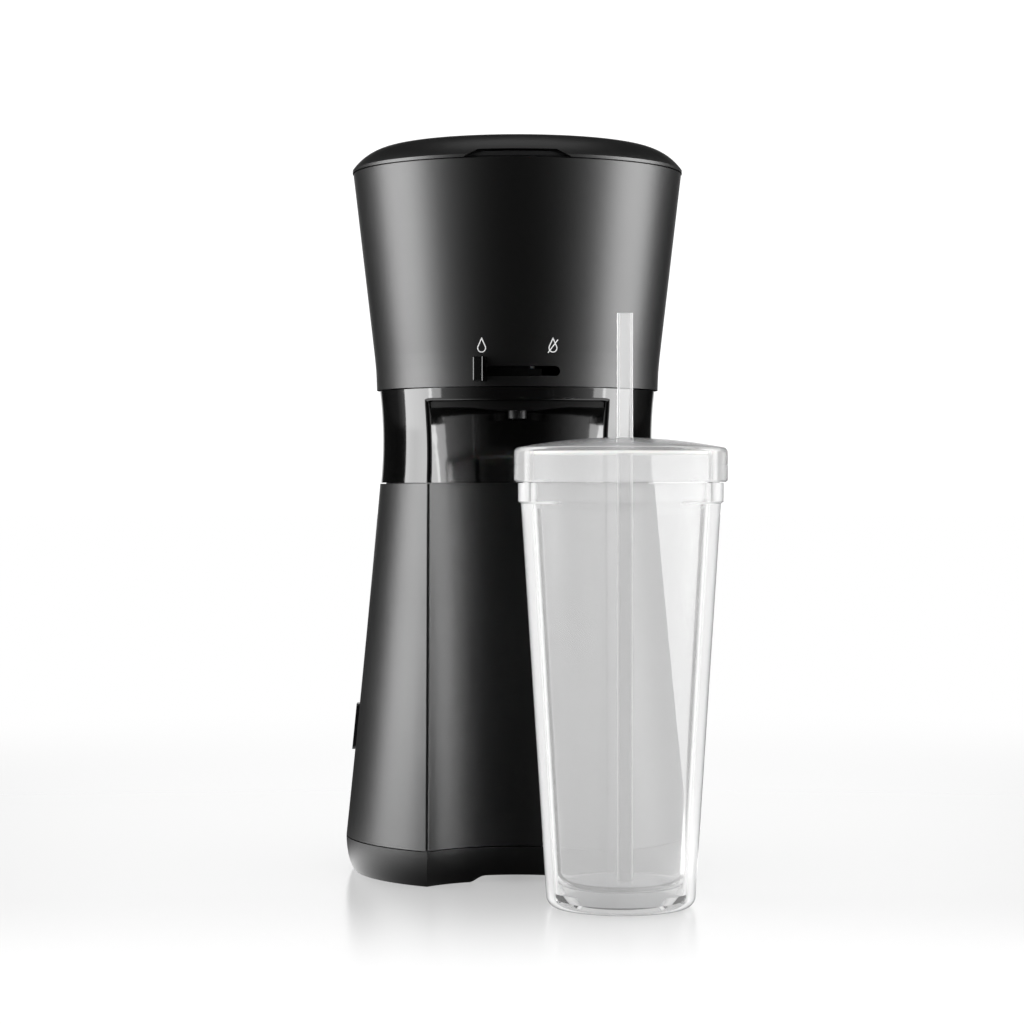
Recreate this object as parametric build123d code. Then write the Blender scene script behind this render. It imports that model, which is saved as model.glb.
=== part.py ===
from build123d import *
import os
from math import acos, cos, degrees, pi, radians, sin, sqrt

# Iced coffee maker with its double-walled tumbler.
# Sizes are in millimetres. Z is the machine's axis, z = 0 the table, -Y the front, +X the viewer's right.

# Levels where the stacked mouldings meet
SKIRT_LIFT = 0.2
BASE_SEAM_Z = 16.6
BODY_HEIGHT = 169.4
NECK_HEIGHT = 44.5
HEAD_HEIGHT = 104.7
SEAM = 0.5

# Radii of the outer form
SKIRT_R = 82.7
SKIRT_TUCK = 7.0
SKIRT_TUCK_HEIGHT = 18.5
BODY_TOP_R = 66.4
BODY_SAG = 0.35
NECK_FOOT_R = 66.1
NECK_WAIST_R = 65.1
NECK_TOP_R = 66.5
HEAD_FOOT_R = 68.0
HEAD_KNEE_R = 68.4
HEAD_BAND = 11.0
HEAD_BEND = 5.0
HEAD_RIM_R = 79.3
LID_R = 79.7
LID_EDGE_HEIGHT = 1.4
LID_SHOULDER_R = 25.7
LID_SHOULDER_TURN = 55.1
LID_CROWN = 0.7
LID_SWELL = 0.75

# Walls and laps of the mouldings
WALL = 2.4
LAP_HEIGHT = 4.0
LAP_WALL = 1.4
LAP_CLEARANCE = 0.15
LAP_ROOT = 4.0
BITE = 0.2
CUT = 1.0
BASE_PLATE_Z = 3.4
BASE_PLATE = 2.4
SKIRT_EDGE = 3.0

# Tumbler bay, an upright recess in the front
BAY_HALF_WIDTH = 41.4
BAY_TOP_HALF_WIDTH = 42.8
BAY_FOOT_BACK_Y = -50.5
BAY_NECK_BACK_Y = -34.0
BAY_REACH = 120.0
BAY_TUCK_WIDEN = 1.5
BAY_TUCK_TIP = 7.0
BAY_TUCK_BACK = 5.7
BAY_LIP_DROP = 6.1
BAY_CORNER_R = 3.0
BODY_HORN_ROUND = 1.2
NECK_HORN_ROUND = 1.8
ARCH_HEIGHT = 3.2
ARCH_HALF_WIDTH = 14.0
ARCH_FOOT_HALF_WIDTH = 24.0

# Trim that closes the top of the bay, with its drip dish
CEILING_DROP = 2.8
CEILING_GAP = 0.6
CEILING_SETBACK = 1.6
DISH_R = 24.0
DISH_LOW_R = 9.0
DISH_DEPTH = 1.6

# Brew outlet
OUTLET_Y = -54.0
SPOUT_R = 4.35
SPOUT_BORE_R = 2.8
SPOUT_DROP = 8.0
SPOUT_FUNNEL = 0.5
SPOUT_FLANGE_R = 8.0
SPOUT_FLANGE = 1.0
SPOUT_CLEARANCE = 0.4
FIT = 0.05

# Foot ring
FOOT_OUTER_R = 74.5
FOOT_INNER_R = 68.5
FOOT_GAP_TURN = 44.0

# Head floor, the frame that carries the flow lever
NECK_LEDGE_R = 55.0
NECK_LEDGE = 2.5
SPIGOT_INNER_R = 57.5
SPIGOT_OUTER_R = 62.0
HEAD_FLANGE_R = 57.0
HEAD_FLANGE = 2.4
HEAD_FLOOR_R = 63.2
HEAD_FLOOR = 2.5
FLOOR_HOSE_HOLE_R = 7.5

# Flow lever
LEVER_REST = 13.6
LEVER_TRAVEL = 27.2
LEVER_PLATE = 3.0
LEVER_LIFT = 0.3
LEVER_HUB_R = 7.0
LEVER_ARM = 14.0
LEVER_HOLE_R = 3.4
SHUTTER_REACH = 9.0
SHUTTER_GAP = 0.6
SHUTTER_MARGIN = 10.0
SCREEN_WALL = 1.0
SCREEN_LEFT_TURN = 48.0
SCREEN_RIGHT_TURN = 5.2
SCREEN_DROP = 2.1
SCREEN_RISE = 3.0
PIVOT_R = 2.0
PIVOT_HEAD_R = 4.5
PIVOT_HEAD = 2.0
PIVOT_PLAY = 0.3
SLOT_RISE = 7.0
SLOT_HALF_LENGTH = 19.8
SLOT_HEIGHT = 4.8
KNOB_NECK = 2.4
KNOB_WIDTH = 4.7
KNOB_HEIGHT = 11.4
KNOB_RISE = 0.8
KNOB_STAND = 0.8
KNOB_DEPTH = 8.8
KNOB_ROUND = 0.9
KNOB_SOCKET = 5.0

# Deck inside the head
DECK_DROP = 10.2
DECK = 2.5
LEDGE_R = 70.4
LEDGE = 2.5
DECK_CLEARANCE = 0.4

# Brew basket and reusable filter
BASKET_Y = -30.0
BASKET_TOP_R = 39.5
BASKET_FOOT_R = 30.5
BASKET_WALL = 2.0
BASKET_FLANGE_R = 43.0
BASKET_FLANGE = 2.0
BASKET_CLEARANCE = 0.6
NIPPLE_R = 5.5
NIPPLE_LENGTH = 8.0
SEAL_R = 8.0
SEAL_BORE_R = 3.6
SEAL_LIFT = 0.2
SEAL_HEIGHT = 2.6
SEAL_COLLAR = 3.0
FILTER_RIM_R = 42.0
FILTER_RIM = 1.4
FILTER_SLEEVE_WALL = 3.0
FILTER_SLEEVE_DROP = 2.0
FILTER_GAP = 0.8
FILTER_MESH = 0.6
FILTER_LIFT = 12.0
FILTER_FRAME = 1.6
FILTER_RIB = 3.0
FILTER_RIBS = 4
FILTER_HUB_R = 9.0

# Water tank behind the basket
TANK_LIFT = 14.1
TANK_FOOT_R = 62.0
TANK_TOP_R = 69.6
TANK_FRONT_Y = 2.0
TANK_BASKET_GAP = 7.0
TANK_WALL = 2.0
TANK_FLANGE = 2.5
TANK_LIP = 2.0
TANK_CLEARANCE = 0.6
TANK_OUTLET_X = -30.0
TANK_OUTLET_Y = 32.0
TANK_OUTLET_R = 3.0
MARK_LENGTH = 12.0
MARK = 0.8
MARK_DEPTH = 1.4
MARK_RISES = (18.0, 34.0, 50.0)
VALVE_FLANGE_R = 8.0
VALVE_FLANGE = 3.0
VALVE_R = 6.0
VALVE_HEIGHT = 8.0
BARB_R = 2.95
BARB_LENGTH = 12.0
BARB_BORE_R = 1.8

# Lid and its hinge
LID_WALL = 2.2
LINER_R = 75.2
LINER = 2.0
LINER_RECESS = 0.9
LINER_RING_R = 74.0
LINER_RING_WALL = 2.0
LINER_RING_DROP = 3.2
LID_POST_TURNS = (30.0, 100.0, 170.0, 230.0, 310.0)
LID_POST_R = 60.0
NOTCH_HALF_WIDTH = 25.0
NOTCH_TOP_HALF_WIDTH = 18.0
NOTCH_HEIGHT = 3.7
NOTCH_ROUND = 1.5
HINGE_SETBACK = 4.3
HINGE_RISE = 1.8
HINGE_BARREL_R = 3.6
HINGE_PIN_R = 1.5
HINGE_KNUCKLE = 18.0
HINGE_WEB_TOP = 3.2
HINGE_WEB_FOOT = 1.1
HINGE_EAR = 5.0
HINGE_GAP = 0.3
HINGE_EAR_DROP = 11.0
HINGE_PIN_HEAD_R = 2.4
HINGE_PIN_HEAD = 1.0
SHOWER_R = 20.0
SHOWER_HEIGHT = 4.6
SHOWER_PLATE = 1.4
SHOWER_WALL = 1.6
SHOWER_HOLE_R = 1.0
SHOWER_RING_R = 12.0
SHOWER_HOLES = 8
SHOWER_NECK_R = 5.0
DUCT_WIDTH = 11.0
DUCT_HEIGHT = 5.0
DUCT_WALL = 1.4
DUCT_SOCKET_R = 5.5
DUCT_BORE_R = 3.0
RISER_X = 46.0
RISER_Y = -10.0
NOZZLE_R = 4.5
NOZZLE_FLANGE_R = 6.2
NOZZLE_FLANGE = 1.5
NOZZLE_GAP = 0.4
NOZZLE_STUB = 1.0

# Power button in the left side of the lower body
BUTTON_Z = 68.7
BUTTON_HEIGHT = 21.8
BUTTON_WIDTH = 13.0
BUTTON_PROUD = 1.5
BUTTON_TRAVEL = 1.5
BUTTON_CLEARANCE = 0.35
BUTTON_CORNER_R = 2.0
BUTTON_LIP = 1.6
BUTTON_LIP_GAP = 0.3
BUTTON_DEPTH = 6.7
STEM_R = 2.6
STEM_LENGTH = 10.0
SPRING_WIRE_R = 0.4
SPRING_R = 4.0
SPRING_TURNS = 4
SPRING_LENGTH = 7.0
SPRING_PLAY = 0.05
SWITCH_BORE_CLEARANCE = 0.3
SWITCH_BORE_DEPTH = 7.0
SWITCH_LENGTH = 14.0
SWITCH_WIDTH = 12.0
SWITCH_HEIGHT = 24.0
BRACKET_SHEET = 2.0
BRACKET_WIDTH = 16.0
BRACKET_FOOT = 8.0

# Heater in the base
HEATER_X = 36.0
HEATER_FRONT_Y = -20.0
HEATER_BACK_Y = 46.0
HEATER_Z = 30.0
HEATER_PORT_RISE = 30.0
HEATER_R = 7.0
HEATER_BORE_R = 4.0
HEATER_CAP = 2.0
HEATER_BEND_R = 28.0
HEATER_PORT_BEND_R = 14.0
ROD_R = 3.4
ROD_GAP = 0.1
ROD_END_Y = -4.0
SADDLE_LENGTH = 46.0
SADDLE_WIDTH = 16.0
SADDLE_HEIGHT = 8.2
THERMOSTAT_R = 8.0
THERMOSTAT_HEIGHT = 6.0
THERMOSTAT_SPACING = 22.0
CRADLE_SHEET = 1.6
CRADLE_LENGTH = 46.0
CRADLE_WIDTH = 16.0
CRADLE_POST_WIDTH = 6.0
REST_R = 4.0
REST_Y = 2.0
TERMINAL_LENGTH = 26.0
TERMINAL_WIDTH = 14.0
TERMINAL_HEIGHT = 11.0
TERMINAL_Y = 12.0

# Hoses
HOSE_R = 5.0
HOSE_BORE_R = 3.0
HOSE_BEND_R = 60.0
HOSE_TOP_RUN = 48.0
HOSE_FOOT_RUN = 49.0
HOSE_SEAT = 1.0
CLAMP_R = 6.2
CLAMP_WIDTH = 5.0
CLAMP_SET = 4.0
CLAMP_GAP = 0.05

# Cord gland at the back, and the wires inside
GLAND_Z = 31.0
GLAND_SEAT_Y = 79.6
GLAND_FLANGE_R = 8.0
GLAND_FLANGE = 3.0
GLAND_NECK_R = 5.5
GLAND_BORE_R = 3.4
GLAND_BACK_Y = 75.5
GLAND_BOSS_R = 9.5
GLAND_NUT_R = 7.0
GLAND_NUT = 2.5
GLAND_CLEARANCE = 0.1
GLAND_RECESS_CLEARANCE = 0.4

# Screws
SCREW_R = 1.4
SCREW_HEAD_R = 2.6
SCREW_HEAD = 1.7
SCREW_CLEARANCE = 0.05
POST_R = 4.2
POST_TOP_Z = 34.0
WEB = 3.0
WEB_FOOT_Z = 22.0
BASE_SCREW_R = 62.0
BASE_SCREW_TURNS = (10.0, 60.0, 120.0, 170.0)
BASE_SCREW_LENGTH = 12.0
DECK_SCREW_R = 72.9
DECK_SCREW_TURNS = (192.0, 230.0, 310.0, 348.0)
DECK_SCREW_LENGTH = 4.6
FLOOR_SCREW_R = 59.7
FLOOR_SCREW_TURNS = (10.0, 90.0, 170.0)
FLOOR_SCREW_LENGTH = 7.0
LID_SCREW_LENGTH = 7.0
LID_POST_WALL_R = 3.4

# Tumbler, standing in front of the machine
CUP_X = 45.6
CUP_Y = -124.0
CUP_FOOT_R = 32.9
CUP_TOP_R = 44.0
CUP_TOP_Z = 177.3
CUP_FOOT_ROUND = 5.0
CUP_WALL = 1.8
CUP_FLOOR = 2.0
CUP_KICK_R = 20.7
CUP_KICK = 1.2
COLLAR_PROUD = 1.3
COLLAR_CHAMFER = 1.0
COLLAR_HEIGHT = 9.1
VESSEL_FOOT_GAP = 2.7
VESSEL_TOP_GAP = 4.4
VESSEL_NECK_GAP = 3.2
VESSEL_FLOOR_Z = 9.0
VESSEL_ROUND = 7.0
VESSEL_FLARE = 2.0
VESSEL_WALL = 2.2
VESSEL_PLAY = 0.1
THREAD_NECK_GAP = 1.9
THREAD_NECK_HEIGHT = 12.6
THREAD_DEPTH = 1.1
THREAD_WIDTH = 1.2
THREAD_START = 2.8
THREAD_PITCH = 3.2
THREAD_TURNS = 3
CUP_LID_PLAY = 0.6
CUP_LID_LIFT = 0.4
CUP_LID_SKIRT = 15.4
CUP_LID_DOME = 4.2
CUP_LID_WALL = 2.0
CUP_LID_SHEET = 2.0
CUP_LID_ROUND = 2.6
CUP_LID_LAND = 1.0
CUP_LID_CHAMFER = 0.9
DOME_SWELL = 0.75
CUP_LID_GROOVE_RISE = 7.4
CUP_LID_GROOVE = 0.4
GASKET = 1.2
GASKET_WIDTH = 2.2
GASKET_INSET = 0.2
STRAW_R = 3.55
STRAW_WALL = 0.6
STRAW_LENGTH = 250.0
STRAW_OFFSET_X = 1.8
STRAW_HOLE_CLEARANCE = 0.6

# Heights and places that follow from the sizes above
BIG = 400.0
BODY_SEAM_Z = BASE_SEAM_Z + BODY_HEIGHT
NECK_SEAM_Z = BODY_SEAM_Z + NECK_HEIGHT
RIM_Z = NECK_SEAM_Z + HEAD_HEIGHT
BASE_FLOOR_TOP = BASE_PLATE_Z + BASE_PLATE
LID_FOOT_Z = RIM_Z + SEAM
LID_EDGE_Z = LID_FOOT_Z + LID_EDGE_HEIGHT
LID_SHOULDER_X = LID_R - LID_SHOULDER_R * sin(radians(LID_SHOULDER_TURN))
LID_SHOULDER_Z = LID_EDGE_Z - LID_SHOULDER_R * cos(radians(LID_SHOULDER_TURN))
HEAD_FOOT_Z = NECK_SEAM_Z + SEAM
HEAD_KNEE_Z = HEAD_FOOT_Z + HEAD_BAND
HEAD_FLOOR_Z = HEAD_FOOT_Z + HEAD_FLANGE
HEAD_FLOOR_TOP = HEAD_FLOOR_Z + HEAD_FLOOR
BAY_LIP_Z = NECK_SEAM_Z - BAY_LIP_DROP
CEILING_TOP_Z = BAY_LIP_Z + WALL
SPOUT_TIP_Z = BAY_LIP_Z - SPOUT_DROP
LEVER_Z = HEAD_FLOOR_TOP + LEVER_LIFT
LEVER_TOP = LEVER_Z + LEVER_PLATE
LEVER_TURN = -LEVER_REST
SHUTTER_INNER_R = -OUTLET_Y - SHUTTER_REACH
SHUTTER_OUTER_R = HEAD_FOOT_R - WALL - SHUTTER_GAP
KNOB_INNER_R = HEAD_KNEE_R + KNOB_STAND
KNOB_OUTER_R = KNOB_INNER_R + KNOB_DEPTH
SLOT_Z = HEAD_FOOT_Z + SLOT_RISE
KNOB_Z = SLOT_Z + KNOB_RISE
SEAL_Z = LEVER_TOP + SEAL_LIFT
NIPPLE_Z = SEAL_Z + SEAL_HEIGHT
DECK_Z = RIM_Z - DECK_DROP
DECK_TOP = DECK_Z + DECK
BASKET_FLOOR_Z = NIPPLE_Z + NIPPLE_LENGTH
BASKET_FLOOR_TOP = BASKET_FLOOR_Z + BASKET_WALL
BASKET_TOP_Z = DECK_TOP + BASKET_FLANGE
FILTER_FLOOR_Z = BASKET_FLOOR_Z + FILTER_LIFT
TANK_FLOOR_Z = HEAD_FLOOR_TOP + TANK_LIFT
TANK_VALVE_Z = TANK_FLOOR_Z - VALVE_FLANGE - VALVE_HEIGHT
LINER_Z = LID_FOOT_Z + LINER_RECESS
LINER_RING_Z = LINER_Z - LINER_RING_DROP
SHOWER_Z = LINER_Z - SHOWER_HEIGHT
NOZZLE_TOP_Z = SHOWER_Z - NOZZLE_GAP
NOZZLE_FOOT_Z = DECK_Z - NOZZLE_STUB
HINGE_Y = LID_R + HINGE_SETBACK
HINGE_Z = RIM_Z + HINGE_RISE
HEATER_PORT_Z = HEATER_Z + HEATER_PORT_RISE
ROD_Z = HEATER_Z - HEATER_R - ROD_GAP - ROD_R
ROD_REST_Z = ROD_Z - ROD_R - ROD_GAP
COLLAR_R = CUP_TOP_R + COLLAR_PROUD
COLLAR_TOP_Z = CUP_TOP_Z + COLLAR_HEIGHT
VESSEL_FOOT_R = CUP_FOOT_R - VESSEL_FOOT_GAP
VESSEL_TOP_R = CUP_TOP_R - VESSEL_TOP_GAP
VESSEL_NECK_R = COLLAR_R - VESSEL_NECK_GAP
VESSEL_INNER_FLOOR = VESSEL_FLOOR_Z + VESSEL_WALL
THREAD_NECK_R = COLLAR_R - THREAD_NECK_GAP
THREAD_NECK_TOP_Z = COLLAR_TOP_Z + THREAD_NECK_HEIGHT
THREAD_R = THREAD_NECK_R + THREAD_DEPTH
CUP_LID_R = THREAD_R + CUP_LID_PLAY + CUP_LID_WALL
CUP_LID_FOOT_Z = COLLAR_TOP_Z + CUP_LID_LIFT
CUP_LID_EDGE_Z = CUP_LID_FOOT_Z + CUP_LID_SKIRT
CUP_LID_TOP_Z = CUP_LID_EDGE_Z + CUP_LID_DOME
CUP_LID_GROOVE_Z = CUP_LID_FOOT_Z + CUP_LID_GROOVE_RISE


# Shared makers


def turned(*edges):
    """Solid turned about Z from edges given as (radius, height)."""
    outline = Curve() + list(edges)
    return revolve(Plane.XZ * make_face(outline), Axis.Z)


def disc(radius, bottom, top, x=0.0, y=0.0):
    """Upright cylinder between two heights."""
    height = top - bottom
    return Pos(x, y, bottom + height / 2) * Cylinder(radius, height)


def pipe(radius, bore, bottom, top, x=0.0, y=0.0):
    """Upright tube between two heights."""
    return disc(radius, bottom, top, x, y) - disc(bore, bottom - CUT, top + CUT, x, y)


def cone(bottom_r, top_r, bottom, top, x=0.0, y=0.0):
    """Upright cone between two heights."""
    height = top - bottom
    return Pos(x, y, bottom + height / 2) * Cone(bottom_r, top_r, height)


def along_y(radius, front, back, x, z):
    """Cylinder lying along Y."""
    length = back - front
    return Pos(x, front + length / 2, z) * Rot(90, 0, 0) * Cylinder(radius, length)


def along_x(radius, left, right, y, z):
    """Cylinder lying along X."""
    length = right - left
    return Pos(left + length / 2, y, z) * Rot(0, 90, 0) * Cylinder(radius, length)


def block(low, high):
    """Box between two corners."""
    size = [b - a for a, b in zip(low, high)]
    middle = [(a + b) / 2 for a, b in zip(low, high)]
    return Pos(*middle) * Box(*size)


def slab(bottom, top):
    """Wide layer used to cut a form at two heights."""
    return block((-BIG, -BIG, bottom), (BIG, BIG, top))


def on_circle(radius, turn, y=0.0):
    """Point on a circle about Z, turn degrees from +X."""
    return radius * cos(radians(turn)), y + radius * sin(radians(turn))


def sector(inner, outer, start, end, bottom, top):
    """Ring sector between two angles from the front, positive towards the right."""
    corners = [(0.0, 0.0)]
    steps = 4
    for step in range(steps + 1):
        turn = start + (end - start) * step / steps
        corners.append(on_circle(2 * outer, turn - 90.0))
    wedge = extrude(make_face(Polyline(*corners, close=True)), top - bottom)
    return pipe(outer, inner, bottom, top) & Pos(0, 0, bottom) * wedge


def screw(x, y, seat_z, length, head_up=True):
    """Pan-head screw whose head bears on seat_z, with its shank below, or above."""
    if head_up:
        head = disc(SCREW_HEAD_R, seat_z, seat_z + SCREW_HEAD, x, y)
        return head + disc(SCREW_R, seat_z - length, seat_z + BITE, x, y)
    head = disc(SCREW_HEAD_R, seat_z - SCREW_HEAD, seat_z, x, y)
    return head + disc(SCREW_R, seat_z - BITE, seat_z + length, x, y)


def screw_hole(x, y, bottom, top):
    """Hole that a screw's shank passes through."""
    return disc(SCREW_R + SCREW_CLEARANCE, bottom, top, x, y)


def ring_places(radius, turns):
    """Points on a circle at the given angles."""
    places = []
    for turn in turns:
        places.append(on_circle(radius, turn))
    return places


# Outer forms


def body_r(z):
    """Outer radius of the lower body at height z, without its slight hollow."""
    share = (z - BASE_SEAM_Z) / (BODY_SEAM_Z - BASE_SEAM_Z)
    return SKIRT_R + (BODY_TOP_R - SKIRT_R) * share


def button_back_x():
    """X of the button's inner face, a set depth inside the body's side."""
    return BUTTON_DEPTH - body_r(BUTTON_Z)


def switch_face_x():
    """X of the switch's face, one spring's length behind the button."""
    return button_back_x() + SPRING_LENGTH


def head_r(z):
    """Outer radius of the head's cone at height z."""
    share = (z - HEAD_KNEE_Z) / (RIM_Z - HEAD_KNEE_Z)
    return HEAD_KNEE_R + (HEAD_RIM_R - HEAD_KNEE_R) * share


def base_foot_r():
    """Radius of the skirt where it comes nearest to the table."""
    share = (BASE_SEAM_Z - SKIRT_LIFT) / SKIRT_TUCK_HEIGHT
    return SKIRT_R - SKIRT_TUCK + SKIRT_TUCK * sqrt(1 - share * share)


def base_form(inset=0.0):
    """Base cover's rounded skirt as a solid, from near the table to its seam."""
    centre = (SKIRT_R - SKIRT_TUCK, BASE_SEAM_Z)
    width = SKIRT_TUCK - inset
    depth = SKIRT_TUCK_HEIGHT - inset
    reach = min(BASE_SEAM_Z - SKIRT_LIFT, 0.96 * depth)
    turn = degrees(acos(sqrt(1 - (reach / depth) ** 2)))
    side = EllipticalCenterArc(centre, width, depth, start_angle=-turn, arc_size=turn)
    foot = side @ 0
    rim = side @ 1
    rest = Polyline((rim.X, rim.Y), (0, rim.Y), (0, foot.Y), (foot.X, foot.Y))
    return turned(side, rest)


def lower_form(inset=0.0, bottom=BASE_SEAM_Z, top=BODY_SEAM_Z):
    """Flared lower body as a solid, slightly hollow along its side."""
    middle = (bottom + top) / 2
    foot = (body_r(bottom) - inset, bottom)
    head = (body_r(top) - inset, top)
    waist = (body_r(middle) - BODY_SAG - inset, middle)
    side = Spline(foot, waist, head)
    return turned(side, Polyline(head, (0, top), (0, bottom), foot))


def neck_form(inset=0.0):
    """Hollow-sided neck as a solid."""
    bottom = BODY_SEAM_Z
    foot = (NECK_FOOT_R - inset, bottom)
    head = (NECK_TOP_R - inset, NECK_SEAM_Z)
    waist = (NECK_WAIST_R - inset, (bottom + NECK_SEAM_Z) / 2)
    side = ThreePointArc(foot, waist, head)
    return turned(side, Polyline(head, (0, NECK_SEAM_Z), (0, bottom), foot))


def head_form(inset=0.0):
    """Head's cone above its short upright band, with a soft bend between, as a solid."""
    foot = Vector(HEAD_FOOT_R - inset, HEAD_FOOT_Z)
    knee = Vector(HEAD_KNEE_R - inset, HEAD_KNEE_Z)
    rim = Vector(HEAD_RIM_R - inset, RIM_Z)
    below = knee + (foot - knee).normalized() * HEAD_BEND
    above = knee + (rim - knee).normalized() * HEAD_BEND
    bend = Bezier(below, knee, above)
    rest = Polyline(above, rim, (0, RIM_Z), (0, HEAD_FOOT_Z), foot)
    return turned(Line(foot, below), bend, rest)


def lid_form(inset=0.0):
    """Lid's flat-topped dome as a solid."""
    radius = LID_SHOULDER_R - inset
    turn = 90 - LID_SHOULDER_TURN
    shoulder = CenterArc((LID_SHOULDER_X, LID_SHOULDER_Z), radius, turn, LID_SHOULDER_TURN)
    edge = shoulder @ 0
    crest = shoulder @ 1
    top = (0, crest.Y + LID_CROWN)
    swell = (crest.X / 2, crest.Y + LID_SWELL * LID_CROWN)
    crown = Spline((crest.X, crest.Y), swell, top)
    foot = Polyline(top, (0, LID_FOOT_Z), (edge.X, LID_FOOT_Z), (edge.X, edge.Y))
    return turned(shoulder, crown, foot)


def bay_plan(z, half_width, tip, back, grow):
    """Plan of the bay at one height: parallel sides and a dished back."""
    half = half_width + grow
    left = (-half, tip)
    right = (half, tip)
    dish = ThreePointArc(left, (0, back + grow), right)
    sides = Polyline(right, (half, -BAY_REACH), (-half, -BAY_REACH), left)
    return Pos(0, 0, z) * make_face(Curve() + [dish, sides])


def tip_y(radius, half_width):
    """Y of the point where the bay's side meets a circle of the given radius."""
    return -sqrt(radius * radius - half_width * half_width)


def bay_form(grow=0.0):
    """The bay as a solid, from below the table to the neck's top, grown by a wall."""
    low_tip = tip_y(SKIRT_R, BAY_HALF_WIDTH)
    high_tip = tip_y(BODY_TOP_R, BAY_HALF_WIDTH)
    top_tip = tip_y(NECK_TOP_R, BAY_TOP_HALF_WIDTH)
    skirt = []
    for share in (0.0, 0.4, 0.7, 0.9, 1.0):
        tuck = 1 - sqrt(1 - (share * BASE_SEAM_Z / SKIRT_TUCK_HEIGHT) ** 2)
        half = BAY_HALF_WIDTH + BAY_TUCK_WIDEN * tuck
        tip = low_tip + BAY_TUCK_TIP * tuck
        back = BAY_FOOT_BACK_Y + BAY_TUCK_BACK * tuck
        skirt.insert(0, bay_plan(BASE_SEAM_Z * (1 - share), half, tip, back, grow))
    foot = bay_plan(BASE_SEAM_Z, BAY_HALF_WIDTH, low_tip, BAY_FOOT_BACK_Y, grow)
    seam = bay_plan(BODY_SEAM_Z, BAY_HALF_WIDTH, high_tip, BAY_NECK_BACK_Y, grow)
    top = bay_plan(NECK_SEAM_Z, BAY_TOP_HALF_WIDTH, top_tip, BAY_NECK_BACK_Y, grow)
    below = loft(skirt)
    middle = loft([foot, seam], ruled=True)
    above = loft([seam, top], ruled=True)
    return below, middle, above


BAYS = {}


def bay(level, grow=0.0):
    """One level of the bay (0 skirt, 1 lower body, 2 neck), made once for each wall."""
    if grow not in BAYS:
        BAYS[grow] = bay_form(grow)
    return BAYS[grow][level]


def layer(form, level, outer, inner):
    """Skin between two insets of a form that the bay cuts into."""
    outside = form(outer) - bay(level, outer)
    inside = form(inner) - bay(level, inner)
    return outside - inside


def lap_ring(form_below, level_below, form_above, level_above, seam_z):
    """Rim that stands on the lower moulding and locates the one above."""
    outer = WALL + LAP_CLEARANCE
    inner = outer + LAP_WALL
    root = layer(form_below, level_below, WALL - BITE, inner) & slab(seam_z - LAP_ROOT, seam_z)
    rim = layer(form_above, level_above, outer, inner) & slab(seam_z, seam_z + LAP_HEIGHT)
    return root + rim


# Lower half of the machine


def arch_cut():
    """Low arch in the skirt's edge inside the bay, with an S-shaped rise at each end."""
    foot_z = SKIRT_LIFT - BITE
    middle = (ARCH_HALF_WIDTH + ARCH_FOOT_HALF_WIDTH) / 2
    wide, narrow, top = ARCH_FOOT_HALF_WIDTH, ARCH_HALF_WIDTH, ARCH_HEIGHT
    rise = Bezier((-wide, foot_z), (-middle, foot_z), (-middle, top), (-narrow, top))
    fall = Bezier((narrow, top), (middle, top), (middle, foot_z), (wide, foot_z))
    crown = Line((-narrow, top), (narrow, top))
    below = Polyline((wide, foot_z), (wide, -CUT), (-wide, -CUT), (-wide, foot_z))
    face = make_face(Curve() + [rise, crown, fall, below])
    prism = extrude(Plane.XZ * face, BAY_REACH)
    back = BAY_FOOT_BACK_Y + BAY_TUCK_BACK + SKIRT_EDGE
    return prism & block((-BIG, -BIG, -BIG), (BIG, back, BASE_SEAM_Z))


def base_cover():
    """Skirt and floor that close the machine from below, open where the tumbler stands."""
    hollow = (base_form(WALL) - bay(0, WALL)) & slab(BASE_FLOOR_TOP, BASE_SEAM_Z + CUT)
    under = disc(base_foot_r() - SKIRT_EDGE, -CUT, BASE_PLATE_Z) - bay(0, SKIRT_EDGE)
    solid = base_form() - bay(0) - hollow - under - arch_cut()
    solid += lap_ring(base_form, 0, lower_form, 1, BASE_SEAM_Z)
    for side in (-1, 1):
        solid += disc(REST_R, BASE_FLOOR_TOP - BITE, ROD_REST_Z, side * HEATER_X, REST_Y)
    for x, y in ring_places(BASE_SCREW_R, BASE_SCREW_TURNS):
        solid -= screw_hole(x, y, 0, BASE_FLOOR_TOP + CUT)
    return solid


def foot_ring():
    """Rubber ring under the base, open at the bay."""
    ring = pipe(FOOT_OUTER_R, FOOT_INNER_R, 0, BASE_PLATE_Z)
    gap = sector(CUT, 2 * FOOT_OUTER_R, -FOOT_GAP_TURN, FOOT_GAP_TURN, -CUT, BASE_PLATE_Z + CUT)
    return ring - gap


def button_outline(grow=0.0):
    """Block of the button's outline along X, grown by a clearance or a lip."""
    width = BUTTON_WIDTH + 2 * grow
    height = BUTTON_HEIGHT + 2 * grow
    corner = BUTTON_CORNER_R + grow
    face = Plane.YZ * RectangleRounded(width, height, corner)
    return Pos(-BIG / 2, 0, BUTTON_Z) * extrude(face, BIG / 2)


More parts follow.
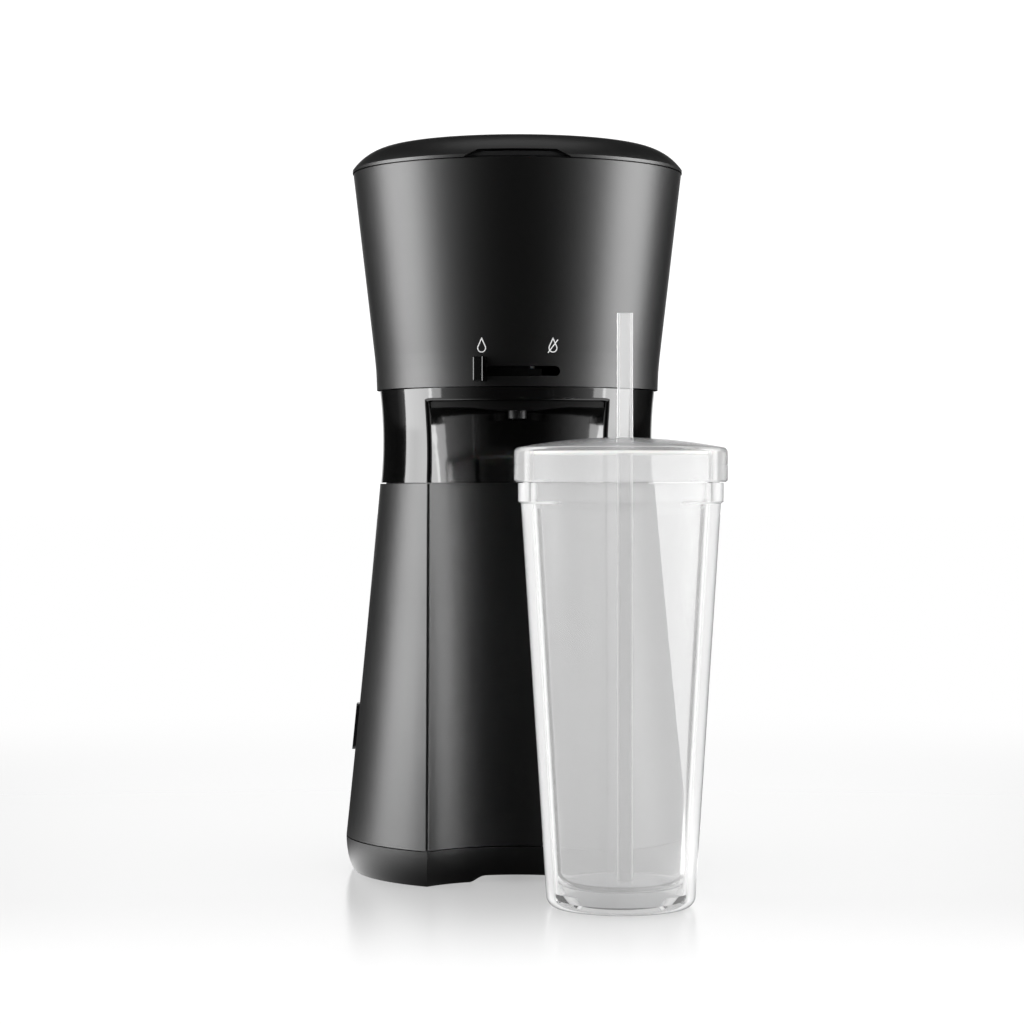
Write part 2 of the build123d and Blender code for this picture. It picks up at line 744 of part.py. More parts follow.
def lower_body_shell():
    """Flared lower body with the bay's back wall, button hole, gland seat and screw posts."""
    bottom = BASE_SEAM_Z + SEAM
    solid = lower_form() - bay(1)
    horns = []
    for edge in solid.edges():
        size = edge.bounding_box().size
        if size.Z > 100 and edge.center().Y < BAY_NECK_BACK_Y:
            horns.append(edge)
    solid = fillet(horns, BODY_HORN_ROUND)
    solid -= lower_form(WALL) - bay(1, WALL)
    solid &= slab(bottom, BODY_SEAM_Z)
    solid -= button_outline(BUTTON_CLEARANCE)
    skin = lower_form(WALL - BITE)
    solid += along_y(GLAND_BOSS_R, GLAND_BACK_Y, BIG / 2, 0, GLAND_Z) & skin
    solid -= along_y(GLAND_FLANGE_R + GLAND_RECESS_CLEARANCE, GLAND_SEAT_Y, BIG / 2, 0, GLAND_Z)
    solid -= along_y(GLAND_NECK_R + GLAND_CLEARANCE, GLAND_BACK_Y - CUT, BIG / 2, 0, GLAND_Z)
    for turn in BASE_SCREW_TURNS:
        x, y = on_circle(BASE_SCREW_R, turn)
        web = Rot(0, 0, turn) * block((BASE_SCREW_R, -WEB / 2, WEB_FOOT_Z), (BIG, WEB / 2, POST_TOP_Z))
        solid += disc(POST_R, BASE_FLOOR_TOP, POST_TOP_Z, x, y) + (web & skin)
        solid -= screw_hole(x, y, BASE_FLOOR_TOP - CUT, BASE_FLOOR_TOP + BASE_SCREW_LENGTH)
    return solid + lap_ring(lower_form, 1, neck_form, 2, BODY_SEAM_Z)


def base_screws():
    """Screws that hold the base cover to the lower body."""
    group = []
    for x, y in ring_places(BASE_SCREW_R, BASE_SCREW_TURNS):
        reach = BASE_PLATE + BASE_SCREW_LENGTH - CUT
        group.append(screw(x, y, BASE_PLATE_Z, reach, head_up=False))
    return Compound(children=group)


def bay_window(inset=0.0):
    """Front view of the neck's opening, with rounded top corners, as a deep block."""
    half = BAY_TOP_HALF_WIDTH - inset
    window = block((-half, -BAY_REACH, BODY_SEAM_Z - CUT), (half, 0, BAY_LIP_Z))
    tops = []
    for edge in window.edges().filter_by(Axis.Y):
        if edge.center().Z > BAY_LIP_Z - BITE:
            tops.append(edge)
    return fillet(tops, BAY_CORNER_R)


def neck_band():
    """Gloss neck with the upper part of the bay and a ledge for the head."""
    solid = neck_form() - (bay(2) & bay_window())
    opening = []
    for edge in solid.edges():
        middle = edge.center()
        radius = sqrt(middle.X**2 + middle.Y**2)
        on_front = middle.Y < BAY_NECK_BACK_Y and BODY_SEAM_Z + CUT < middle.Z < NECK_SEAM_Z - CUT
        if on_front and radius > NECK_WAIST_R - BITE:
            opening.append(edge)
    solid = fillet(opening, NECK_HORN_ROUND)
    hollow = neck_form(WALL) - (bay(2, WALL) & slab(BODY_SEAM_Z - CUT, CEILING_TOP_Z))
    solid -= hollow
    solid &= slab(BODY_SEAM_Z + SEAM, NECK_SEAM_Z)
    ledge = neck_form(WALL - BITE) & slab(NECK_SEAM_Z - NECK_LEDGE, NECK_SEAM_Z)
    solid += ledge - disc(NECK_LEDGE_R, BODY_SEAM_Z, NECK_SEAM_Z + CUT)
    solid += pipe(SPIGOT_OUTER_R, SPIGOT_INNER_R, NECK_SEAM_Z - BITE, HEAD_FOOT_Z)
    wide_from = CEILING_TOP_Z + SPOUT_FLANGE / 2
    solid -= disc(SPOUT_R + FIT, BODY_SEAM_Z, wide_from, 0, OUTLET_Y)
    solid -= disc(SPOUT_R + SPOUT_CLEARANCE, wide_from, HEAD_FOOT_Z + CUT, 0, OUTLET_Y)
    for x, y in ring_places(FLOOR_SCREW_R, FLOOR_SCREW_TURNS):
        solid -= screw_hole(x, y, NECK_SEAM_Z - NECK_LEDGE - CUT, HEAD_FOOT_Z + CUT)
    return solid


def bay_ceiling():
    """Dark trim under the neck's bridge, dished down towards the spout."""
    low = BAY_LIP_Z - CEILING_DROP
    plan = bay(2, -CEILING_GAP) & bay_window(CEILING_GAP) & neck_form(CEILING_SETBACK)
    dish = cone(DISH_LOW_R, DISH_R, low - DISH_DEPTH, low, 0, OUTLET_Y)
    trim = plan & (slab(low, BAY_LIP_Z) + dish)
    return trim - disc(SPOUT_R + FIT, BODY_SEAM_Z, BAY_LIP_Z + CUT, 0, OUTLET_Y)


def spout():
    """Drip spout that hangs below the bay's lip."""
    tube = disc(SPOUT_R, SPOUT_TIP_Z, HEAD_FLOOR_TOP, 0, OUTLET_Y)
    flange = disc(SPOUT_FLANGE_R, CEILING_TOP_Z, CEILING_TOP_Z + SPOUT_FLANGE, 0, OUTLET_Y)
    mouth_r = SPOUT_R - SPOUT_FUNNEL
    funnel = cone(mouth_r, SPOUT_BORE_R, SPOUT_TIP_Z, SPOUT_TIP_Z + 2 * SPOUT_FUNNEL, 0, OUTLET_Y)
    bore = disc(SPOUT_BORE_R, SPOUT_TIP_Z - CUT, HEAD_FLOOR_TOP + CUT, 0, OUTLET_Y)
    return tube + flange - bore - funnel


# Head


def hinge_ear(side):
    """One ear of the lid's hinge on the back of the head."""
    inner = HINGE_KNUCKLE / 2 + HINGE_GAP
    left = min(side * inner, side * (inner + HINGE_EAR))
    right = left + HINGE_EAR
    front = HEAD_RIM_R - WALL / 2
    nose = HINGE_Y - HINGE_BARREL_R
    outline = Polyline(
        (front, RIM_Z - BITE),
        (nose, RIM_Z - BITE),
        (nose, HINGE_Z),
        (HINGE_Y + HINGE_BARREL_R, HINGE_Z),
        (front, HINGE_Z - HINGE_EAR_DROP),
        close=True,
    )
    web = extrude(Plane.YZ * make_face(outline), HINGE_EAR)
    return Pos(left, 0, 0) * web + along_x(HINGE_BARREL_R, left, right, HINGE_Y, HINGE_Z)


def flow_slot():
    """Round-ended slot across the front of the head."""
    straight = 2 * SLOT_HALF_LENGTH - SLOT_HEIGHT
    face = Plane.XZ * SlotCenterToCenter(straight, SLOT_HEIGHT)
    return Pos(0, 0, SLOT_Z) * extrude(face, BIG / 2)


def head_shell():
    """Tapered head with the lever slot, the deck's ledge and the hinge ears."""
    solid = head_form()
    for side in (-1, 1):
        solid += hinge_ear(side)
    floor = HEAD_FOOT_Z + HEAD_FLANGE
    solid -= head_form(WALL) & slab(floor, RIM_Z + CUT)
    solid -= disc(HEAD_FLANGE_R, HEAD_FOOT_Z - CUT, floor + CUT)
    solid -= disc(SPOUT_R + SPOUT_CLEARANCE, HEAD_FOOT_Z - CUT, floor + CUT, 0, OUTLET_Y)
    ledge = head_form(WALL - BITE) & slab(DECK_Z - LEDGE, DECK_Z)
    solid += ledge - disc(LEDGE_R, DECK_Z - LEDGE - CUT, DECK_Z + CUT)
    solid -= flow_slot()
    pin = HINGE_KNUCKLE / 2 + HINGE_GAP + HINGE_EAR + CUT
    solid -= along_x(HINGE_PIN_R + FIT, -pin, pin, HINGE_Y, HINGE_Z)
    for x, y in ring_places(FLOOR_SCREW_R, FLOOR_SCREW_TURNS):
        solid -= screw_hole(x, y, HEAD_FOOT_Z - CUT, floor + CUT)
    for x, y in ring_places(DECK_SCREW_R, DECK_SCREW_TURNS):
        solid -= screw_hole(x, y, DECK_Z - LEDGE - CUT, DECK_Z + CUT)
    return solid


def head_floor():
    """Frame plate on the head's flange that carries the lever's pivot and the spout's top."""
    low, high = HEAD_FLOOR_Z - CUT, HEAD_FLOOR_TOP + CUT
    solid = disc(HEAD_FLOOR_R, HEAD_FLOOR_Z, HEAD_FLOOR_TOP)
    solid -= disc(SPOUT_R + FIT, low, high, 0, OUTLET_Y)
    solid -= disc(PIVOT_R + FIT, low, high)
    for x, y in ((TANK_OUTLET_X, TANK_OUTLET_Y), (RISER_X, RISER_Y)):
        solid -= disc(FLOOR_HOSE_HOLE_R, low, high, x, y)
    for x, y in ring_places(FLOOR_SCREW_R, FLOOR_SCREW_TURNS):
        solid -= screw_hole(x, y, low, high)
    return solid


def floor_screws():
    """Screws through the head's floor and flange into the neck."""
    group = []
    for x, y in ring_places(FLOOR_SCREW_R, FLOOR_SCREW_TURNS):
        group.append(screw(x, y, HEAD_FLOOR_TOP, FLOOR_SCREW_LENGTH))
    return Compound(children=group)


def head_deck():
    """Deck that closes the top of the head round the basket and the tank."""
    low, high = DECK_Z - CUT, DECK_TOP + CUT
    solid = disc(head_r(DECK_Z) - WALL - DECK_CLEARANCE, DECK_Z, DECK_TOP)
    solid -= disc(BASKET_TOP_R + BASKET_CLEARANCE, low, high, 0, BASKET_Y)
    solid -= tank_form(-TANK_CLEARANCE, low, high)
    solid -= disc(NOZZLE_R + FIT, low, high, RISER_X, RISER_Y)
    for x, y in ring_places(DECK_SCREW_R, DECK_SCREW_TURNS):
        solid -= screw_hole(x, y, low, high)
    return solid


def deck_screws():
    """Screws that hold the deck to the head's ledge."""
    group = []
    for x, y in ring_places(DECK_SCREW_R, DECK_SCREW_TURNS):
        group.append(screw(x, y, DECK_TOP, DECK_SCREW_LENGTH))
    return Compound(children=group)


def tank_form(inset, bottom, top):
    """Water tank's form between two heights: a half round with a dish for the basket."""
    full = cone(TANK_FOOT_R - inset, TANK_TOP_R - inset, TANK_FLOOR_Z, DECK_TOP + TANK_LIP)
    full &= slab(bottom, top)
    full &= block((-BIG, TANK_FRONT_Y + inset, 0), (BIG, BIG, BIG))
    reach = BASKET_TOP_R + TANK_BASKET_GAP + inset
    return full - disc(reach, bottom - CUT, top + CUT, 0, BASKET_Y)


def water_tank():
    """Open water tank with a flange over the deck and raised level marks."""
    top = DECK_TOP + TANK_LIP
    solid = tank_form(0, TANK_FLOOR_Z, top) + tank_form(-TANK_FLANGE, DECK_TOP, top)
    solid -= tank_form(TANK_WALL, TANK_FLOOR_Z + TANK_WALL, top + CUT)
    half = MARK_LENGTH / 2
    for rise in MARK_RISES:
        low = TANK_FLOOR_Z + rise
        back = TANK_FOOT_R + (TANK_TOP_R - TANK_FOOT_R) * rise / (top - TANK_FLOOR_Z) - TANK_WALL
        solid += block((-half, back - MARK_DEPTH, low), (half, back + BITE, low + MARK))
    outlet_top = TANK_FLOOR_Z + TANK_WALL + CUT
    return solid - disc(TANK_OUTLET_R, TANK_FLOOR_Z - CUT, outlet_top, TANK_OUTLET_X, TANK_OUTLET_Y)


def check_valve():
    """One-way valve housing under the tank, with a hose barb."""
    x, y = TANK_OUTLET_X, TANK_OUTLET_Y
    low = TANK_VALVE_Z
    solid = disc(VALVE_FLANGE_R, TANK_FLOOR_Z - VALVE_FLANGE, TANK_FLOOR_Z, x, y)
    solid += disc(TANK_OUTLET_R - FIT, TANK_FLOOR_Z - BITE, TANK_FLOOR_Z + TANK_WALL, x, y)
    solid += disc(VALVE_R, low, TANK_FLOOR_Z - VALVE_FLANGE + BITE, x, y)
    solid += disc(BARB_R, low - BARB_LENGTH, low + BITE, x, y)
    return solid - disc(BARB_BORE_R, low - BARB_LENGTH - CUT, TANK_FLOOR_Z + TANK_WALL + CUT, x, y)


def brew_basket():
    """Tapered basket that hangs in the deck and drains through a nipple at its front."""
    low, top = BASKET_FLOOR_Z, DECK_TOP
    solid = cone(BASKET_FOOT_R, BASKET_TOP_R, low, top, 0, BASKET_Y)
    solid += disc(BASKET_FLANGE_R, top, BASKET_TOP_Z, 0, BASKET_Y)
    inside = cone(BASKET_FOOT_R - BASKET_WALL, BASKET_TOP_R - BASKET_WALL, low, top, 0, BASKET_Y)
    inside &= slab(BASKET_FLOOR_TOP, top)
    inside += disc(BASKET_TOP_R - BASKET_WALL, top, BASKET_TOP_Z + CUT, 0, BASKET_Y)
    solid -= inside
    solid += disc(NIPPLE_R, NIPPLE_Z, low + BITE, 0, OUTLET_Y)
    return solid - disc(SEAL_BORE_R, NIPPLE_Z - CUT, BASKET_FLOOR_TOP + CUT, 0, OUTLET_Y)


def outlet_seal():
    """Soft ring on the basket's nipple that rides just above the shutter."""
    solid = pipe(SEAL_R, SEAL_BORE_R, SEAL_Z, NIPPLE_Z, 0, OUTLET_Y)
    return solid + pipe(SEAL_R, NIPPLE_R + FIT, NIPPLE_Z - FIT, NIPPLE_Z + SEAL_COLLAR, 0, OUTLET_Y)


def filter_cone(grow, bottom, top):
    """Cone that follows the basket's inside at the filter's gap."""
    low_r = BASKET_FOOT_R - BASKET_WALL - FILTER_GAP + grow
    top_r = BASKET_TOP_R - BASKET_WALL - FILTER_GAP + grow
    full = cone(low_r, top_r, BASKET_FLOOR_Z, DECK_TOP, 0, BASKET_Y)
    return full & slab(bottom, top)


def filter_mesh():
    """Fine mesh cup of the reusable filter."""
    outer = filter_cone(-FILTER_FRAME, FILTER_FLOOR_Z, DECK_TOP)
    floor_top = FILTER_FLOOR_Z + FILTER_MESH
    return outer - filter_cone(-FILTER_FRAME - FILTER_MESH, floor_top, DECK_TOP + CUT)


def filter_frame():
    """Rim, ribs and bottom cross that carry the filter's mesh."""
    inner_r = BASKET_TOP_R - BASKET_WALL
    bore = inner_r - FILTER_SLEEVE_WALL
    rim = pipe(FILTER_RIM_R, bore, BASKET_TOP_Z, BASKET_TOP_Z + FILTER_RIM, 0, BASKET_Y)
    sleeve_foot = DECK_TOP - FILTER_SLEEVE_DROP
    sleeve = disc(inner_r - FILTER_GAP, sleeve_foot, BASKET_TOP_Z + BITE, 0, BASKET_Y)
    sleeve -= filter_cone(-FILTER_FRAME, BASKET_FLOOR_Z, DECK_TOP)
    sleeve -= disc(bore, DECK_TOP - BITE, BASKET_TOP_Z + CUT, 0, BASKET_Y)
    low = FILTER_FLOOR_Z - FILTER_FRAME
    skin = filter_cone(0, low, DECK_TOP)
    skin -= filter_cone(-FILTER_FRAME, FILTER_FLOOR_Z, DECK_TOP + CUT)
    frame = rim + sleeve + disc(FILTER_HUB_R, low, FILTER_FLOOR_Z, 0, BASKET_Y)
    for index in range(FILTER_RIBS):
        bar = block((0, -FILTER_RIB / 2, low - CUT), (BASKET_FLANGE_R, FILTER_RIB / 2, DECK_TOP))
        turn = 360 / FILTER_RIBS * (index + 0.5)
        frame += skin & (Pos(0, BASKET_Y, 0) * Rot(0, 0, turn) * bar)
    return frame


# Flow lever


def flow_lever():
    """Rotary shutter on the head's floor: hub, arm, holed pad, slot screen and the knob's neck."""
    solid = disc(LEVER_HUB_R, LEVER_Z, LEVER_TOP)
    pad_start = -LEVER_TRAVEL - SHUTTER_MARGIN
    solid += sector(SHUTTER_INNER_R, SHUTTER_OUTER_R, pad_start, SHUTTER_MARGIN, LEVER_Z, LEVER_TOP)
    arm = block((-LEVER_ARM / 2, -SHUTTER_INNER_R - CUT, LEVER_Z), (LEVER_ARM / 2, 0, LEVER_TOP))
    solid += Rot(0, 0, LEVER_TURN) * arm
    low, high = LEVER_Z - SCREEN_DROP, LEVER_TOP + SCREEN_RISE
    inner = SHUTTER_OUTER_R - SCREEN_WALL
    solid += sector(inner, SHUTTER_OUTER_R, -SCREEN_LEFT_TURN, SCREEN_RIGHT_TURN, low, high)
    half = KNOB_NECK / 2
    tip = KNOB_INNER_R + KNOB_SOCKET - FIT
    root = SHUTTER_OUTER_R - 2 * SCREEN_WALL
    solid += Rot(0, 0, LEVER_TURN) * block((-half, -tip, SLOT_Z - half), (half, -root, SLOT_Z + half))
    solid -= disc(PIVOT_R + FIT, LEVER_Z - CUT, LEVER_TOP + CUT)
    return solid - disc(LEVER_HOLE_R, LEVER_Z - CUT, LEVER_TOP + CUT, 0, OUTLET_Y)


def lever_knob():
    """Knob that stands proud of the slot on the lever's neck."""
    low, high = KNOB_Z - KNOB_HEIGHT / 2, KNOB_Z + KNOB_HEIGHT / 2
    solid = block((-KNOB_WIDTH / 2, -KNOB_OUTER_R, low), (KNOB_WIDTH / 2, -KNOB_INNER_R, high))
    solid = fillet(solid.faces().sort_by(Axis.Y)[0].edges(), KNOB_ROUND)
    half = KNOB_NECK / 2 + FIT
    front = KNOB_INNER_R + KNOB_SOCKET
    socket = block((-half, -front, SLOT_Z - half), (half, -KNOB_INNER_R + CUT, SLOT_Z + half))
    return Rot(0, 0, LEVER_TURN) * (solid - socket)


def lever_pivot():
    """Shoulder pin that the lever turns on."""
    top = LEVER_TOP + PIVOT_PLAY
    return disc(PIVOT_R, HEAD_FLOOR_Z, top + BITE) + disc(PIVOT_HEAD_R, top, top + PIVOT_HEAD)


# Lid


def notch_cut():
    """Finger notch in the front of the lid's edge."""
    low, high = LID_FOOT_Z - CUT, LID_FOOT_Z + NOTCH_HEIGHT
    slope = (NOTCH_HALF_WIDTH - NOTCH_TOP_HALF_WIDTH) / NOTCH_HEIGHT
    wide = NOTCH_HALF_WIDTH + slope * CUT
    outline = Polyline(
        (-wide, low), (wide, low), (NOTCH_TOP_HALF_WIDTH, high), (-NOTCH_TOP_HALF_WIDTH, high), close=True
    )
    prism = extrude(Plane.XZ * make_face(outline), BIG / 2)
    tops = prism.edges().filter_by(Axis.Y).group_by(Axis.Z)[-1]
    return fillet(tops, NOTCH_ROUND)


def lid_cover():
    """Outer lid with the finger notch, screw posts and the hinge knuckle."""
    solid = lid_form() - lid_form(LID_WALL)
    solid -= notch_cut() & block((-BIG, -BIG, 0), (BIG, -LINER_RING_R, BIG))
    room = lid_form(LID_WALL - BITE)
    for x, y in ring_places(LID_POST_R, LID_POST_TURNS):
        solid += disc(LID_POST_WALL_R, LINER_Z + LINER, BIG, x, y) & room
        solid -= screw_hole(x, y, LINER_Z, LINER_Z + LID_SCREW_LENGTH + BITE)
    half = HINGE_KNUCKLE / 2
    web = block(
        (-half, LID_R - LID_WALL / 2, HINGE_Z - HINGE_WEB_FOOT), (half, HINGE_Y, HINGE_Z + HINGE_WEB_TOP)
    )
    solid += web + along_x(HINGE_BARREL_R, -half, half, HINGE_Y, HINGE_Z)
    return solid - along_x(HINGE_PIN_R + FIT, -half - CUT, half + CUT, HINGE_Y, HINGE_Z)


def lid_liner():
    """Inner plate of the lid with a ring that drops into the head."""
    top = LINER_Z + LINER
    solid = disc(LINER_R, LINER_Z, top)
    solid += pipe(LINER_RING_R, LINER_RING_R - LINER_RING_WALL, LINER_RING_Z, LINER_Z + BITE)
    solid -= disc(SHOWER_NECK_R + FIT, LINER_Z - CUT, top + CUT, 0, BASKET_Y)
    solid -= disc(DUCT_SOCKET_R + FIT, LINER_Z - CUT, top + CUT, RISER_X, RISER_Y)
    for x, y in ring_places(LID_POST_R, LID_POST_TURNS):
        solid -= screw_hole(x, y, LINER_Z - CUT, top + CUT)
    return solid


def lid_screws():
    """Screws that hold the liner to the lid's posts."""
    group = []
    for x, y in ring_places(LID_POST_R, LID_POST_TURNS):
        group.append(screw(x, y, LINER_Z, LID_SCREW_LENGTH, head_up=False))
    return Compound(children=group)


def shower_head():
    """Flat chamber under the liner that drips water over the grounds."""
    low, top = SHOWER_Z, LINER_Z
    solid = disc(SHOWER_R, low, top, 0, BASKET_Y)
    solid -= disc(SHOWER_R - SHOWER_WALL, low + SHOWER_PLATE, top - SHOWER_PLATE, 0, BASKET_Y)
    solid += disc(SHOWER_NECK_R, top - BITE, top + LINER, 0, BASKET_Y)
    solid -= disc(DUCT_BORE_R, low + SHOWER_PLATE, top + LINER + CUT, 0, BASKET_Y)
    holes = [(0, BASKET_Y)]
    for index in range(SHOWER_HOLES):
        holes.append(on_circle(SHOWER_RING_R, 360 / SHOWER_HOLES * index, BASKET_Y))
    for x, y in holes:
        solid -= disc(SHOWER_HOLE_R, low - CUT, low + SHOWER_PLATE + BITE, x, y)
    return solid


def water_duct():
    """Flat duct on the liner from the riser's socket to the shower head."""
    low = LINER_Z + LINER
    length = sqrt(RISER_X**2 + (RISER_Y - BASKET_Y) ** 2)
    middle = (RISER_X / 2, (RISER_Y + BASKET_Y) / 2)
    turn = degrees(acos(RISER_X / length))
    place = Pos(middle[0], middle[1], low + DUCT_HEIGHT / 2) * Rot(0, 0, turn)
    solid = place * extrude(SlotCenterToCenter(length, DUCT_WIDTH), DUCT_HEIGHT / 2, both=True)
    channel = SlotCenterToCenter(length, DUCT_WIDTH - 2 * DUCT_WALL)
    hollow = extrude(channel, DUCT_HEIGHT / 2 - DUCT_WALL, both=True)
    solid += disc(DUCT_SOCKET_R, SHOWER_Z, low + BITE, RISER_X, RISER_Y)
    solid -= place * hollow
    solid -= disc(DUCT_BORE_R, SHOWER_Z - CUT, low + DUCT_WALL + BITE, RISER_X, RISER_Y)
    return solid - disc(DUCT_BORE_R, low - CUT, low + DUCT_WALL + BITE, 0, BASKET_Y)


def riser_nozzle():
    """Nozzle through the deck that feeds the lid's duct."""
    barb_foot = NOZZLE_FOOT_Z - BARB_LENGTH
    solid = disc(NOZZLE_R, NOZZLE_FOOT_Z, NOZZLE_TOP_Z, RISER_X, RISER_Y)
    solid += disc(NOZZLE_FLANGE_R, DECK_TOP, DECK_TOP + NOZZLE_FLANGE, RISER_X, RISER_Y)
    solid += disc(BARB_R, barb_foot, DECK_Z, RISER_X, RISER_Y)
    return solid - disc(BARB_BORE_R, barb_foot - CUT, NOZZLE_TOP_Z + CUT, RISER_X, RISER_Y)


def hinge_pin():
    """Steel pin through the hinge's ears and knuckle, headed at both ends."""
    half = HINGE_KNUCKLE / 2 + HINGE_GAP + HINGE_EAR
    solid = along_x(HINGE_PIN_R, -half, half, HINGE_Y, HINGE_Z)
    for side in (-1, 1):
        left = min(side * half, side * (half + HINGE_PIN_HEAD))
        solid += along_x(HINGE_PIN_HEAD_R, left, left + HINGE_PIN_HEAD, HINGE_Y, HINGE_Z)
    return solid


# Power button


def power_button():
    """Button cap that follows the body's side, with a retaining lip and a stem."""
    back = button_back_x()
    room = block((-BIG, -BIG, 0), (back, BIG, BIG))
    cap = button_outline() & lower_form(-BUTTON_PROUD) & room
    lip = button_outline(BUTTON_LIP) & lower_form(WALL + BUTTON_LIP_GAP) & room
    return cap + lip + along_x(STEM_R, back - BITE, back + STEM_LENGTH, 0, BUTTON_Z)


def button_spring():
    """Return spring round the button's stem."""
    reach = SPRING_LENGTH - BUTTON_TRAVEL - 2 * SPRING_WIRE_R - 2 * SPRING_PLAY
    path = Helix(reach / SPRING_TURNS, reach, SPRING_R)
    start = Plane(origin=path @ 0, z_dir=path % 0)
    coil = sweep(start * Circle(SPRING_WIRE_R), path=path)
    left = button_back_x() + BUTTON_TRAVEL + SPRING_WIRE_R + SPRING_PLAY
    return Pos(left, 0, BUTTON_Z) * Rot(0, 90, 0) * coil


def switch_housing():
    """Mains switch behind the button, with a bore for the button's stem."""
    face = switch_face_x()
    half_w, half_h = SWITCH_WIDTH / 2, SWITCH_HEIGHT / 2
    low, high = BUTTON_Z - half_h, BUTTON_Z + half_h
    solid = block((face, -half_w, low), (face + SWITCH_LENGTH, half_w, high))
    bore = STEM_R + SWITCH_BORE_CLEARANCE
    return solid - along_x(bore, face - CUT, face + SWITCH_BORE_DEPTH, 0, BUTTON_Z)


def switch_bracket():
    """Folded bracket that holds the switch up from the base."""
    half = BRACKET_WIDTH / 2
    left = switch_face_x() + SWITCH_LENGTH
    top = BUTTON_Z + SWITCH_HEIGHT / 2
    foot_top = BASE_FLOOR_TOP + BRACKET_SHEET
    upright = block((left, -half, BASE_FLOOR_TOP), (left + BRACKET_SHEET, half, top))
    return upright + block((left, -half, BASE_FLOOR_TOP), (left + BRACKET_FOOT, half, foot_top))


# Heater and water path


def tube_along(points, bends, radius, bore):
    """Tube swept along straight runs joined by tangent arcs."""
    path = FilletPolyline(*points, radius=bends)
    start = Plane(origin=path @ 0, z_dir=path % 0)
    tube = sweep(start * Circle(radius), path=path)
    if bore:
        tube -= sweep(start * Circle(bore), path=path)
    return tube


def heater_tube():
    """Aluminium water tube bent to a U, with upright ports and a flat saddle."""
    points = []
    for side in (-1, 1):
        ends = [
            (side * HEATER_X, HEATER_FRONT_Y, HEATER_PORT_Z),
            (side * HEATER_X, HEATER_FRONT_Y, HEATER_Z),
            (side * HEATER_X, HEATER_BACK_Y, HEATER_Z),
        ]
        points += ends if side < 0 else ends[::-1]
    bends = [HEATER_PORT_BEND_R, HEATER_BEND_R, HEATER_BEND_R, HEATER_PORT_BEND_R]
    solid = tube_along(points, bends, HEATER_R, 0)
    half = SADDLE_LENGTH / 2
    flat = SADDLE_WIDTH / 2
    front, back = HEATER_BACK_Y - flat, HEATER_BACK_Y + flat
    solid += block((-half, front, HEATER_Z), (half, back, HEATER_Z + SADDLE_HEIGHT))
    solid -= tube_along(points, bends, HEATER_BORE_R, 0)
    for side in (-1, 1):
        x = side * HEATER_X
        tip = HEATER_PORT_Z + BARB_LENGTH
        solid += disc(HEATER_R, HEATER_PORT_Z - HEATER_CAP, HEATER_PORT_Z, x, HEATER_FRONT_Y)
        solid += disc(BARB_R, HEATER_PORT_Z - BITE, tip, x, HEATER_FRONT_Y)
        solid -= disc(BARB_BORE_R, HEATER_PORT_Z - HEATER_CAP - CUT, tip + CUT, x, HEATER_FRONT_Y)
    return solid


def heating_rod():
    """Sheathed heating rod that lies under the water tube."""
    points = [
        (-HEATER_X, ROD_END_Y, ROD_Z),
        (-HEATER_X, HEATER_BACK_Y, ROD_Z),
        (HEATER_X, HEATER_BACK_Y, ROD_Z),
        (HEATER_X, ROD_END_Y, ROD_Z),
    ]
    return tube_along(points, [HEATER_BEND_R, HEATER_BEND_R], ROD_R, 0)


def heater_cradle():
    """Steel cradle that carries the heater's back bar on the base."""
    half, flat = CRADLE_LENGTH / 2, CRADLE_WIDTH / 2
    low, top = BASE_FLOOR_TOP, BASE_FLOOR_TOP + CRADLE_SHEET
    front, back = HEATER_BACK_Y - flat, HEATER_BACK_Y + flat
    solid = block((-half, front, low), (half, back, top))
    for side in (-1, 1):
        left = side * (half - CRADLE_POST_WIDTH / 2) - CRADLE_POST_WIDTH / 2
        solid += block((left, front, low), (left + CRADLE_POST_WIDTH, back, ROD_REST_Z))
    return solid


def thermostats():
    """Two disc thermostats on the heater's saddle."""
    low = HEATER_Z + SADDLE_HEIGHT
    group = []
    for side in (-1, 1):
        x = side * THERMOSTAT_SPACING / 2
        group.append(disc(THERMOSTAT_R, low, low + THERMOSTAT_HEIGHT, x, HEATER_BACK_Y))
    return Compound(children=group)


def cold_hose():
    """Hose from the tank's valve down to the heater."""
    top = TANK_VALVE_Z - HOSE_SEAT
    foot = HEATER_PORT_Z + HOSE_SEAT
    points = [
        (TANK_OUTLET_X, TANK_OUTLET_Y, top),
        (TANK_OUTLET_X, TANK_OUTLET_Y, top - HOSE_TOP_RUN),
        (-HEATER_X, HEATER_FRONT_Y, foot + HOSE_FOOT_RUN),
        (-HEATER_X, HEATER_FRONT_Y, foot),
    ]
    return tube_along(points, [HOSE_BEND_R, HOSE_BEND_R], HOSE_R, HOSE_BORE_R)


def riser_hose():
    """Hose from the heater up to the deck's nozzle."""
    top = NOZZLE_FOOT_Z - HOSE_SEAT
    foot = HEATER_PORT_Z + HOSE_SEAT
    points = [
        (RISER_X, RISER_Y, top),
        (RISER_X, RISER_Y, BODY_SEAM_Z),
        (HEATER_X, HEATER_FRONT_Y, foot + HOSE_FOOT_RUN),
        (HEATER_X, HEATER_FRONT_Y, foot),
    ]
    return tube_along(points, [HOSE_BEND_R, HOSE_BEND_R], HOSE_R, HOSE_BORE_R)


